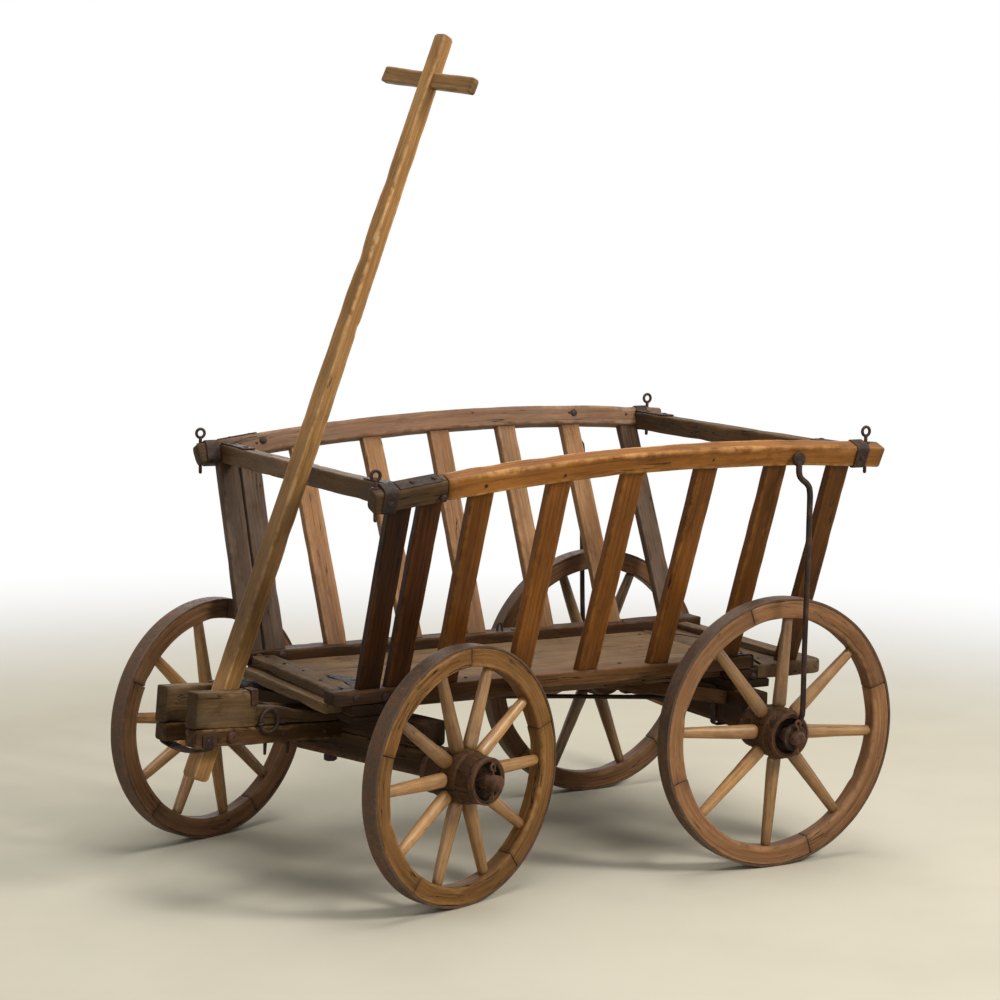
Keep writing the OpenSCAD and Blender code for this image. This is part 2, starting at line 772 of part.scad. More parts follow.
// A bent iron eye on the left arm's outer face
module lashing_eye() {
    y = -slot_half - arm_w - eye_wire_r;
    z = arm_z(eye_x) + arm_h + 8;
    foot = arm_z(eye_x) + 12;
    rust() steered() translate([eye_x, y, 0]) {
        translate([0, 0, z]) rotate([90, 0, 0]) rotate_extrude(angle = 180) translate([eye_r, 0]) circle(r = eye_wire_r);
        for (x = [-eye_r, eye_r]) translate([x, 0, foot]) {
            cylinder(r = eye_wire_r, h = z - foot);
            rotate([-90, 0, 0]) cylinder(r = eye_wire_r, h = eye_wire_r);
        }
    }
}

// ---------------------------------------------------------------- drawbar
// The pole's own frame has its pivot at the origin and its length along +Z.

module pole_taper(root, top, across) {
    linear_extrude(across, center = true) polygon([
        [-root / 2, -heel_len], [root / 2, -heel_len], [root / 2, 0],
        [top / 2, pole_len], [-top / 2, pole_len], [-root / 2, 0]
    ]);
}

module cross_bar(slack = 0) {
    translate([0, 0, cross_at * pole_len]) rotate([cross_skew, 0, 0]) rotate([90, 0, 90])
        linear_extrude(cross_t + slack, center = true)
            square([crosspiece_len, cross_h], center = true);
}

module drawbar_pole() {
    diagonal = 1.24;
    ochre_wood() difference() {
        on_pole() difference() {
            intersection() {
                rotate([90, 0, 0]) pole_taper(pole_root, pole_top, 2 * pole_root);
                rotate([90, 0, 90]) pole_taper(pole_width, pole_top, 2 * pole_root);
                for_chamfer(diagonal, 45);
                for_chamfer(diagonal, -45);
            }
            cross_bar();
        }
        steered() fork_bolt_hole(fork_bolt_r + running);
    }
}

module for_chamfer(share, angle) {
    rotate([0, 0, angle]) rotate([90, 0, 0]) pole_taper(pole_root * share, pole_top * share, 3 * pole_root);
}

module drawbar_crosspiece() {
    corner = 5;
    ochre_wood() on_pole() translate([0, 0, cross_at * pole_len]) rotate([cross_skew, 0, 0]) rotate([90, 0, 90])
        linear_extrude(cross_t, center = true) difference() {
            square([crosspiece_len, cross_h], center = true);
            for (a = [-1, 1], b = [-1, 1]) translate([a * (crosspiece_len / 2 - corner), b * (cross_h / 2 - corner)]) difference() {
                translate([a > 0 ? 0 : -corner - over, b > 0 ? 0 : -corner - over]) square(corner + over);
                circle(r = corner);
            }
        }
}

// ---------------------------------------------------------------- nodes

floor_boards();
floor_strips();
sill(LEFT, left_sill_rear);  // left_sill
sill(RIGHT, right_sill_rear);  // right_sill
front_cross_plank();
rear_cross_plank();
stakes(LEFT);  // left_stakes
stakes(RIGHT);  // right_stakes
top_rail(LEFT);  // left_top_rail
top_rail(RIGHT);  // right_top_rail
front_cross_rail();
rear_cross_rail();
corner_irons();
eye_pins();
wheel_stays();
front_transom();
rear_bolster();
rear_axle_beam();
rear_axle_iron();
rear_axle_clips();
rear_linchpins();
rear_hounds();
tie_rod();
kingpin();
floor_plate();
front_axle_beam();
front_bolster();
front_axle_iron();
front_linchpins();
fork_arm(LEFT);  // left_fork_arm
fork_arm(RIGHT);  // right_fork_arm
cheek(LEFT);  // left_cheek
cheek(RIGHT);  // right_cheek
fork_strap();
fork_bolt();
lashing_eye();
drawbar_pole();
drawbar_crosspiece();
front_hub(LEFT);  // front_left_hub
front_hub_bands(LEFT);  // front_left_hub_bands
front_spoke_set(LEFT);  // front_left_spokes
front_felloe_ring(LEFT);  // front_left_felloes
front_tyre(LEFT);  // front_left_tyre
front_hub(RIGHT);  // front_right_hub
front_hub_bands(RIGHT);  // front_right_hub_bands
front_spoke_set(RIGHT);  // front_right_spokes
front_felloe_ring(RIGHT);  // front_right_felloes
front_tyre(RIGHT);  // front_right_tyre
rear_hub(LEFT);  // rear_left_hub
rear_hub_bands(LEFT);  // rear_left_hub_bands
rear_spoke_set(LEFT);  // rear_left_spokes
rear_felloe_ring(LEFT);  // rear_left_felloes
rear_tyre(LEFT);  // rear_left_tyre
rear_hub(RIGHT);  // rear_right_hub
rear_hub_bands(RIGHT);  // rear_right_hub_bands
rear_spoke_set(RIGHT);  // rear_right_spokes
rear_felloe_ring(RIGHT);  // rear_right_felloes
rear_tyre(RIGHT);  // rear_right_tyre
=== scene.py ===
"""A weathered wooden hand cart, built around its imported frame.

Every timber, iron and wheel is a surface worked out with numpy: a section carried along a path,
a profile turned about an axis, or an outline given a thickness. Each point also keeps where it
lies in its own timber and how worn it is, and the finishes read that.
Points are metres, and sizes are millimetres unless it is said. X is counted from the kingpin to the rear.
"""
import json
import logging
import math
from dataclasses import dataclass, field
from enum import IntEnum
from functools import cache
from typing import Sequence

import bpy
import numpy as np
from mathutils import Matrix


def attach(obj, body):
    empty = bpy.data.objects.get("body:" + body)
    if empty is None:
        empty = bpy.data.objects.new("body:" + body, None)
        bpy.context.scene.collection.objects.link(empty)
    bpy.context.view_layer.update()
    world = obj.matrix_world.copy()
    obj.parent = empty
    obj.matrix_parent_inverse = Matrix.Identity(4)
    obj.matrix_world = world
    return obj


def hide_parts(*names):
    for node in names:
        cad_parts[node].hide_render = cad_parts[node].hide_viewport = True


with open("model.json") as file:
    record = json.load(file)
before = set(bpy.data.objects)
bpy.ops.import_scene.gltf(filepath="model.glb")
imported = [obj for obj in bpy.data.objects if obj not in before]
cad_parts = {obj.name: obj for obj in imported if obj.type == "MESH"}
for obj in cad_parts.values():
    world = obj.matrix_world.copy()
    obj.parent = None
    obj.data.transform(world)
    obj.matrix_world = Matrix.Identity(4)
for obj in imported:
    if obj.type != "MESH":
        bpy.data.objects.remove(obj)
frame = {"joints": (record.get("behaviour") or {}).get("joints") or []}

LOG = logging.getLogger("cart")
Array = np.ndarray
Colour = tuple[float, float, float, float]
Screen = tuple[int, int, int]
Sizes = float | Sequence[float]
Socket = bpy.types.NodeSocket
MM = 0.001
ALONG, ACROSS, UP = np.eye(3)


class Side(IntEnum):
    """A side of the cart, valued by the sign of its Y."""

    LEFT = -1
    RIGHT = 1

    @property
    def word(self) -> str:
        """The side's name in node names."""
        return self.name.lower()


# ------------------------------------------------------------------ shapes


def unit(vectors: Array) -> Array:
    """The same directions at length one."""
    vectors = np.asarray(vectors, float)
    return vectors / np.linalg.norm(vectors, axis=-1, keepdims=True)


def lattice_noise(
    rng: np.random.Generator, shape: tuple[int, int], cells: tuple[int, int], wrap_rows: bool = False
) -> Array:
    """Smooth noise from -1 to 1.

    Formula: random values at the corners of a lattice, eased between them by 3t^2 - 2t^3.

    Args:
        rng: The seeded source of random numbers.
        shape: Rows and columns wanted. The columns run round and meet.
        cells: Lattice cells along the rows and the columns.
        wrap_rows: Whether the rows run round too.

    Returns:
        An array of the shape asked for.
    """
    a, b = max(cells[0], 1), max(cells[1], 1)
    values = rng.uniform(-1.0, 1.0, (a + 1, b + 1))
    values[:, b] = values[:, 0]
    if wrap_rows:
        values[a] = values[0]
    u = np.linspace(0, a, shape[0], endpoint=not wrap_rows)
    v = np.linspace(0, b, shape[1], endpoint=False)
    i = np.minimum(u.astype(int), a - 1)
    j = np.minimum(v.astype(int), b - 1)
    s, t = u - i, v - j
    s, t = (s * s * (3 - 2 * s))[:, None], (t * t * (3 - 2 * t))[None, :]
    low = values[i][:, j] * (1 - t) + values[i][:, j + 1] * t
    high = values[i + 1][:, j] * (1 - t) + values[i + 1][:, j + 1] * t
    return low * (1 - s) + high * s


def curve(points: Sequence[Sequence[float]], per_leg: int = 8, closed: bool = False) -> Array:
    """A smooth path through points.

    Formula: each leg is the Catmull-Rom cubic of its two ends and their two neighbours.

    Args:
        points: What the path passes through.
        per_leg: Points made on each leg.
        closed: Whether the path comes back to its start.

    Returns:
        The path's points, one a row.
    """
    p = np.asarray(points, float)
    if closed:
        p = np.vstack([p[-1], p, p[0], p[1]])
    else:
        p = np.vstack([2 * p[0] - p[1], p, 2 * p[-1] - p[-2]])
    t = np.linspace(0, 1, per_leg, endpoint=False)[None, :, None]
    a, b, c, d = p[:-3, None], p[1:-2, None], p[2:-1, None], p[3:, None]
    legs = 0.5 * (2 * b + (c - a) * t + (2 * a - 5 * b + 4 * c - d) * t**2 + (3 * b - a - 3 * c + d) * t**3)
    path = legs.reshape(-1, 3)
    return path if closed else np.vstack([path, p[-2]])


def arc(
    centre: Array, first: Array, second: Array, radius: float, start: float, end: float, count: int = 40
) -> Array:
    """Points of a circle's arc: centre + radius (first cos a + second sin a), a in radians, radius in mm."""
    a = np.linspace(start, end, count)[:, None]
    return centre + radius * MM * (np.cos(a) * first + np.sin(a) * second)


def off(place: Array, way: Array, distance: float) -> Array:
    """A place moved along a direction by some millimetres."""
    return place + way * distance * MM


@dataclass(frozen=True)
class Wear:
    """How use and weather have worn a timber. Sizes are millimetres.

    Args:
        corner: Radius of its long corners, or one for each of the four.
        chip: How much deeper a knocked place is.
        chips: How many knocked places it has.
        wave: How far its faces are worn down in places.
        bow: How far its middle line wanders.
        end: Radius of the corners round its ends.
    """

    corner: float | tuple[float, float, float, float] = 2.4
    chip: float = 4
    chips: int = 3
    wave: float = 0.8
    bow: float = 0
    end: float = 1.8


THIN = Wear(0.9, 1, 3, 0.3)
BENT = Wear(0.8, 0.6, 2, 0.2, 0, 0.8)
SIDE_FRACTIONS = np.array([0.07, 0.2, 0.4, 0.6, 0.8, 0.93])
SIDE_EDGE = np.array([0.35, 0.0, 0.0, 0.0, 0.0, 0.35])
ARC_STEPS = 3
CORNER_SIGNS = np.array([[1, 1], [-1, 1], [-1, -1], [1, -1]])


def rounded_section(width: Array, depth: Array, radius: Array) -> tuple[Array, Array, Array]:
    """Outlines of rectangles with rounded corners, one for each station of a path.

    Formula: each corner is a quarter circle about a centre set in by its radius, and the points
    of a side lie between the ends of two quarter circles.

    Args:
        width: The rectangles' widths.
        depth: Their depths.
        radius: The radii of their four corners, one row for each station.

    Returns:
        The points and the outward directions at them, by station and point, and how much each
        point is on an edge, from 0 to 1.
    """
    half = np.stack([width, depth], 1) / 2
    points, normals, edge = [], [], []
    corners = []
    for k, sign in enumerate(CORNER_SIGNS):
        angle = math.pi / 2 * (k + np.linspace(0, 1, ARC_STEPS + 1))
        turn = np.stack([np.cos(angle), np.sin(angle)], 1)
        centre = sign * (half - radius[:, k : k + 1])
        corners.append(
            (centre[:, None] + radius[:, k, None, None] * turn, np.broadcast_to(turn, (len(half), *turn.shape)))
        )
    for k in range(4):
        now, normal = corners[k]
        following = corners[(k + 1) % 4][0]
        fractions = SIDE_FRACTIONS[None, :, None]
        side = now[:, -1:] * (1 - fractions) + following[:, :1] * fractions
        points += [now, side]
        normals += [normal, np.repeat(normal[:, -1:], len(SIDE_FRACTIONS), 1)]
        edge += [np.ones(ARC_STEPS + 1), SIDE_EDGE]
    return np.concatenate(points, 1), np.concatenate(normals, 1), np.concatenate(edge)


def spread(value: Sizes, share: Array) -> Array:
    """A size along a path: one number, or numbers at even steps with straight lines between."""
    numbers = np.atleast_1d(np.asarray(value, float))
    return np.interp(share, np.linspace(0, 1, len(numbers)), numbers)


class Line:
    """A path measured along its length."""

    def __init__(self, path: Sequence[Sequence[float]], closed: bool) -> None:
        """Adds up the distances between the path's points.

        Args:
            path: Its points, one a row, in metres.
            closed: Whether it comes back to its start.
        """
        points = np.asarray(path, float)
        self.points = np.vstack([points, points[:1]]) if closed else points
        self.run = np.r_[0, np.cumsum(np.linalg.norm(np.diff(self.points, axis=0), axis=1))]
        self.length, self.closed = self.run[-1], closed

    def at(self, distance: Array) -> Array:
        """The points at distances from its start, on straight lines between its own."""
        return np.stack([np.interp(distance, self.run, column) for column in self.points.T], 1)

    def noise(self, rng: np.random.Generator, shape: tuple[int, int], cell: float, cells: int) -> Array:
        """Smooth noise over a grid carried along it, in cells of a length in metres and some across."""
        return lattice_noise(rng, shape, (max(int(self.length / cell), 2), cells), self.closed)

    def stations(self, step: float, least: int, end: float, nearer: float) -> tuple[Array, Array]:
        """Distances at which a section is placed, closer together at open ends.

        Args:
            step: Distance between them in millimetres.
            least: The fewest there may be.
            end: Length of the rounding at an open end.
            nearer: Where the extra one in that rounding stands, as a share of it.

        Returns:
            The distances, and how near each is to an open end, from 0 to 1.
        """
        length, rows = self.length, max(int(self.length / (step * MM)), least)
        if self.closed:
            return np.linspace(0, length, rows, endpoint=False), np.zeros(rows)
        at = np.r_[0, nearer * end, np.linspace(end, length - end, rows), length - nearer * end, length]
        return at, np.clip(1 - np.minimum(at, length - at) / end, 0, 1)

    def frames(self, centre: Array, across: Array) -> tuple[Array, Array]:
        """The two section directions at points along it.

        Formula: the width's direction is across without its part along the tangent, and the
        depth's is the tangent crossed with it.
        """
        if self.closed:
            tangent = np.roll(centre, -1, 0) - np.roll(centre, 1, 0)
        else:
            tangent = np.gradient(centre, axis=0)
        tangent = unit(tangent)
        a = np.broadcast_to(across, tangent.shape)
        a = unit(a - (a * tangent).sum(1, keepdims=True) * tangent)
        return a, np.cross(tangent, a)


def placed(name: str, data: bpy.types.ID, *columns: Array) -> bpy.types.Object:
    """Puts a mesh, lamp or camera into the scene.

    Args:
        name: The object's name.
        data: What it shows.
        columns: Its own three directions and its place, or nothing to leave it where it is.

    Returns:
        The object.
    """
    made = bpy.data.objects.new(name, data)
    bpy.context.scene.collection.objects.link(made)
    if columns:
        made.matrix_world = Matrix(np.vstack([np.stack(columns, -1), [0, 0, 0, 1]]).tolist())
    return made


@dataclass
class Shell:
    """Grids of points that become one mesh, with what the finishes read at each point. Sizes are millimetres.

    Args:
        rng: The seeded source of its random numbers.
    """

    rng: np.random.Generator
    points: list[Array] = field(default_factory=list)
    grain: list[Array] = field(default_factory=list)
    marks: list[Array] = field(default_factory=list)
    quads: list[Array] = field(default_factory=list)
    triangles: list[Array] = field(default_factory=list)
    count: int = 0

    def add(self, rings: Array, grain: Array, marks: Array, closed: bool = False) -> None:
        """Adds a grid whose columns run round, with a fan over each end unless its rows run round too.

        Args:
            rings: Points by row and column.
            grain: Where each point lies in its own timber.
            marks: Tone, edge, and dirtiness with painted shade, of each point, from 0 to 1.
            closed: Whether the last row meets the first.
        """
        rows, columns = rings.shape[:2]
        index = self.count + np.arange(rows * columns).reshape(rows, columns)
        beside = np.roll(index, -1, 1)
        squares = np.stack([index, beside, np.roll(beside, -1, 0), np.roll(index, -1, 0)], -1)
        self.quads.append(squares[: rows if closed else rows - 1].reshape(-1, 4))
        self._keep(rings, grain, marks)
        if not closed:
            for row, flip in ((0, True), (rows - 1, False)):
                tip = np.full(columns, self.count)
                self._keep(rings[row].mean(0)[None], grain[row].mean(0)[None], marks[row].mean(0)[None])
                fan = [tip, beside[row], index[row]] if flip else [tip, index[row], beside[row]]
                self.triangles.append(np.stack(fan, -1))

    def _keep(self, points: Array, grain: Array, marks: Array) -> None:
        """Stores points with their grain and marks."""
        self.points.append(points.reshape(-1, 3))
        self.grain.append(grain.reshape(-1, 3))
        self.marks.append(marks.reshape(-1, 3))
        self.count += len(self.points[-1])

    def build(self, name: str, body: str, finish: "WoodFinish | IronFinish", *nodes: str) -> bpy.types.Object:
        """Makes the mesh and puts it on its body.

        Args:
            name: The piece's name.
            body: The body it rides on.
            finish: Its finish.
            nodes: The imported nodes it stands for.

        Returns:
            The new object.
        """
        quads, points = np.concatenate(self.quads), np.concatenate(self.points)
        fans = np.concatenate([np.zeros((0, 3), int), *self.triangles])
        mesh = bpy.data.meshes.new(name)
        mesh.vertices.add(len(points))
        mesh.vertices.foreach_set("co", points.ravel())
        mesh.loops.add(quads.size + fans.size)
        mesh.loops.foreach_set("vertex_index", np.concatenate([quads.ravel(), fans.ravel()]))
        mesh.polygons.add(len(quads) + len(fans))
        starts = np.concatenate([np.arange(len(quads)) * 4, quads.size + np.arange(len(fans)) * 3])
        mesh.polygons.foreach_set("loop_start", starts)
        mesh.update(calc_edges=True)
        mesh.validate()
        grain = mesh.attributes.new("grain", "FLOAT_VECTOR", "POINT")
        grain.data.foreach_set("vector", np.concatenate(self.grain).ravel())
        marks = np.concatenate(self.marks)
        marks = np.hstack([np.clip(marks, 0, 1), np.ones((len(marks), 1))])
        mesh.attributes.new("marks", "FLOAT_COLOR", "POINT").data.foreach_set("color", marks.ravel())
        mesh.shade_smooth()
        mesh.set_sharp_from_angle(angle=math.radians(38))
        mesh.materials.append(dressed(finish))
        piece = placed(name, mesh)
        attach(piece, body)
        if nodes:
            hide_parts(*nodes)
        LOG.info("%s: %d triangles on %s", name, 2 * len(quads) + len(fans), body)
        return piece

    def timber(
        self, path: Array, across: Sequence[float] | Array, width: Sizes, depth: Sizes, tone: Sizes = 0.5, wear: Wear
        = Wear(), grime: Sizes = 0.15, closed: bool = False, step: float = 12,
    ) -> None:
        """Adds a worn piece of wood or flat iron: a rounded rectangle carried along a path.

        Formula: the section's corners have their own radii that wander and jump at chips, its faces
        sink by smooth noise, and near an open end it draws in along a quarter circle.

        Args:
            path: The middle line's points.
            across: The direction of the width.
            width: Width, or widths at even steps.
            depth: Depth, or depths at even steps.
            tone: How light it is, or tones at even steps.
            wear: How worn it is.
            grime: How dirty it is, or amounts at even steps; painted shade is added to it near an open end.
            closed: Whether the path comes back to its start.
            step: Distance between stations.
        """
        rng, line = self.rng, Line(path, closed)
        length = line.length
        end = min(wear.end * MM, length / 5)
        at, near = line.stations(step, 3, end, 0.3)
        inset = end * (1 - np.sqrt(1 - 0.98 * near**2))
        centre, rows, share = line.at(at), len(at), at / length
        a, d = line.frames(centre, np.asarray(across, float))
        if wear.bow:
            wander = line.noise(rng, (rows, 2), 0.16, 2)
            wander *= 1 if closed else np.sin(math.pi * share)[:, None]
            centre = centre + wear.bow * MM * (wander[:, :1] * a + wander[:, 1:] * d)
        wide, deep = (spread(np.asarray(size, float) * MM, share) for size in (width, depth))
        corner = np.broadcast_to(np.asarray(wear.corner, float) * MM, (rows, 4))
        radius = corner * (1 + 0.45 * line.noise(rng, (rows, 4), 0.03, 4))
        for _ in range(wear.chips):
            place, reach = rng.uniform(0, length), rng.uniform(8, 26) * MM
            radius[:, rng.integers(4)] += rng.uniform(0.3, 1) * wear.chip * MM * np.exp(
                -(((at - place) / reach) ** 2)
            )
        radius = np.minimum(radius, 0.47 * np.minimum(wide, deep)[:, None])
        flat, normal, edge = rounded_section(wide - 2 * inset, deep - 2 * inset, radius)
        sink = line.noise(rng, flat.shape[:2], 0.05, 7)
        flat = flat - wear.wave * MM * (0.5 + 0.5 * sink)[..., None] * normal
        rings = centre[:, None] + flat[..., :1] * a[:, None] + flat[..., 1:] * d[:, None]
        pith, angle = rng.uniform(25, 80) * MM, rng.uniform(0, 2 * math.pi)
        offset = np.array([rng.uniform(0, 9), pith * math.cos(angle), pith * math.sin(angle)])
        lengthwise = np.broadcast_to(at[:, None, None], (*flat.shape[:2], 1))
        grain = rings if closed else np.concatenate([lengthwise, flat], -1) + offset
        blotch = line.noise(rng, flat.shape[:2], 0.09, 3)
        tones = spread(tone, share)[:, None] + 0.06 * blotch
        dirt_and_shade = spread(grime, share)[:, None] + 0.12 * sink
        # Darker within a few millimetres of an open end: partly dirty end grain, partly painted shade where the end
        # meets other parts.
        if not closed:
            dirt_and_shade = dirt_and_shade + (0.35 * np.exp(-np.minimum(at, length - at) / (6 * MM)))[:, None]
        self.add(rings, grain, np.stack([tones, edge[None] * (0.65 + 0.35 * blotch), dirt_and_shade], -1), closed)

    def rod(
        self, path: Array, radius: Sizes, tone: Sizes = 0.5, oval: float = 1.0, closed: bool = False, step: float = 6,
        sides: int = 14, rough: float = 0.04,
    ) -> None:
        """Adds a round bar carried along a path, domed at its open ends.

        Formula: circles of the given radii, stretched by oval, and roughened by smooth noise.

        Args:
            path: The middle line's points.
            radius: Radius, or radii at even steps.
            tone: How light it is, or tones at even steps.
            oval: Width of the section over its depth.
            closed: Whether the path comes back to its start.
            step: Distance between stations.
            sides: Points round the section.
            rough: Noise as a share of the radius.
        """
        rng, line, radii = self.rng, Line(path, closed), np.asarray(radius, float) * MM
        at, near = line.stations(step, 6, min(float(np.min(radii)) * 0.8, line.length / 4), 0.25)
        centre, share, p = line.at(at), at / line.length, line.points
        if closed:
            side = unit(np.cross(p[1] - p[0], p[2] - p[1]))
        else:
            direction = unit(p[-1] - p[0])
            side = np.cross(direction, UP if abs(direction[2]) < 0.8 else np.array([1.0, 0.0, 0.0]))
        a, d = line.frames(centre, unit(side))
        angle = np.linspace(0, 2 * math.pi, sides, endpoint=False)
        noise = line.noise(rng, (len(at), sides), 0.02, 5)
        size = (spread(radii, share) * np.sqrt(1 - 0.8 * near**2))[:, None] * (1 - rough * (0.5 + 0.5 * noise))
        x, y = size * np.cos(angle) * oval, size * np.sin(angle)
        rings = centre[:, None] + x[..., None] * a[:, None] + y[..., None] * d[:, None]
        offset = np.array([rng.uniform(0, 9), rng.uniform(-0.05, 0.05), rng.uniform(0.02, 0.06)])
        grain = np.stack([np.broadcast_to(at[:, None], x.shape), x, y], -1) + offset
        tones = spread(tone, share)[:, None] + 0.08 * noise
        self.add(rings, grain, np.stack([tones, 0.25 + 0.25 * noise, 0.2 + 0.2 * noise], -1), closed)

    def turned(
        self, base: Array, axis: Array, profile: Sequence[tuple[float, float]], tone: float = 0.5, sides: int = 48,
        hollow: bool = False, rough: float = 0.3, grime: Sizes = 0.2,
    ) -> None:
        """Adds a shape turned about an axis.

        Formula: each profile point (radius, height) is swept round the axis, and the radius wanders
        by smooth noise.

        Args:
            base: The point on the axis where heights are counted from.
            axis: The axis, pointing along growing height.
            profile: Radius and height of each point, upwards on the outside.
            tone: How light it is.
            sides: Points round the axis.
            hollow: Whether the profile comes back to its start, as on a ring.
            rough: How far the radius wanders.
            grime: How dirty it is, or amounts at each profile point; a hub's hollow end gets painted shade through
                it.
        """
        axis = unit(axis)
        first = unit(np.cross(axis, np.array([0.3, 0.2, 0.9]) if abs(axis[2]) < 0.8 else np.array([1.0, 0.2, 0.1])))
        second = np.cross(axis, first)
        r, h = np.asarray(profile, float).T * MM
        angle = np.linspace(0, 2 * math.pi, sides, endpoint=False)
        noise = lattice_noise(self.rng, (len(r), sides), (max(len(r) // 2, 1), 9), hollow)
        size = r[:, None] - np.minimum(rough * MM, 0.3 * r)[:, None] * (0.5 + 0.5 * noise)
        x, y, z = size * np.cos(angle), size * np.sin(angle), np.broadcast_to(h[:, None], noise.shape)
        rings = base + x[..., None] * first + y[..., None] * second + z[..., None] * axis
        grain = np.stack([z, x, y], -1) + np.array([self.rng.uniform(0, 9), 6 * MM, 4 * MM])
        bend = np.abs(np.gradient(np.arctan2(np.gradient(h), np.gradient(r) + 1e-9)))
        edge = np.clip(np.minimum(bend, math.pi - bend), 0, 1)[:, None] * (0.6 + 0.4 * noise)
        dirt_and_shade = np.broadcast_to(np.asarray(grime, float), (len(r),))[:, None] + 0.15 * noise
        self.add(rings, grain, np.stack([tone + 0.08 * noise, edge, dirt_and_shade], -1), hollow)

    def slab(
        self, outline: Array, low: float, high: float, along: Sequence[float] = (1, 0, 0), tone: float = 0.5,
        edge_radius: float = 2.5, grime: float = 0.2,
    ) -> None:
        """Adds a flat piece: a plan outline given a thickness, with worn edges.

        Formula: the outline is drawn in by the edge radius at the faces and stands full between
        them, and both wander by smooth noise.

        Args:
            outline: Plan points in metres, anticlockwise from above, of a shape that bulges outwards.
            low: Height of the lower face.
            high: Height of the upper face.
            along: The direction of the grain.
            tone: How light it is.
            edge_radius: Radius of the edges.
            grime: How dirty it is.
        """
        rng, line, low, high = self.rng, Line(outline, True), low * MM, high * MM
        even = np.linspace(0, line.length, max(int(line.length / (7 * MM)), 24), endpoint=False)
        plan = line.at(np.unique(np.round(np.r_[even, line.run[:-1]], 7)))
        tangent = unit(np.roll(plan, -1, 0) - np.roll(plan, 1, 0))
        outward = np.stack([tangent[:, 1], -tangent[:, 0]], 1)
        noise = lattice_noise(rng, (8, len(plan)), (2, max(int(line.length / 0.05), 4)))
        e = np.minimum(edge_radius * MM * (1 + 0.5 * noise[3]), 0.4 * (high - low))
        none = 0 * e
        inset = np.stack([12 * MM + none, e, 0.3 * e, none, none, 0.3 * e, e, 12 * MM + none])
        inset = inset + 0.5 * MM * (0.5 + 0.5 * noise)
        height = np.stack([low + none, low + none, low + 0.3 * e, low + e])
        height = np.concatenate([height, np.stack([high - e, high - 0.3 * e, high + none, high + none])])
        rings = np.concatenate([plan[None] - inset[..., None] * outward[None], height[..., None]], -1)
        first = unit(np.asarray(along, float))
        offset = np.array([rng.uniform(0, 9), rng.uniform(-0.05, 0.05), rng.uniform(0.03, 0.07)])
        grain = np.stack([rings @ first, rings @ np.cross(UP, first), rings[..., 2]], -1) + offset
        edge = np.array([0, 0.6, 1, 1, 1, 1, 0.6, 0])[:, None] * (0.6 + 0.4 * noise)
        self.add(rings, grain, np.stack([tone + 0.06 * noise, edge, grime + 0.15 * noise], -1))

    def stud(self, place: Array, outward: Sequence[float], radius: float, height: float, sides: int = 12) -> None:
        """Adds a nail or bolt head: a low dome turned about its own middle."""
        dome = [(0.98, -1.2 / height), (1, 0), (1, 0.45), (0.78, 0.85), (0.3, 1)]
        profile = [(radius * r, height * h) for r, h in dome]
        self.turned(np.asarray(place, float), np.asarray(outward, float), profile, sides=sides, rough=0.2)


# ------------------------------------------------------------------ finishes


def srgb(red: float, green: float, blue: float) -> Colour:
    """A colour given as screen values from 0 to 255, in the linear values that shaders take."""
    c = np.array([red, green, blue]) / 255
    linear = np.where(c <= 0.04045, c / 12.92, ((c + 0.055) / 1.055) ** 2.4)
    return (float(linear[0]), float(linear[1]), float(linear[2]), 1.0)


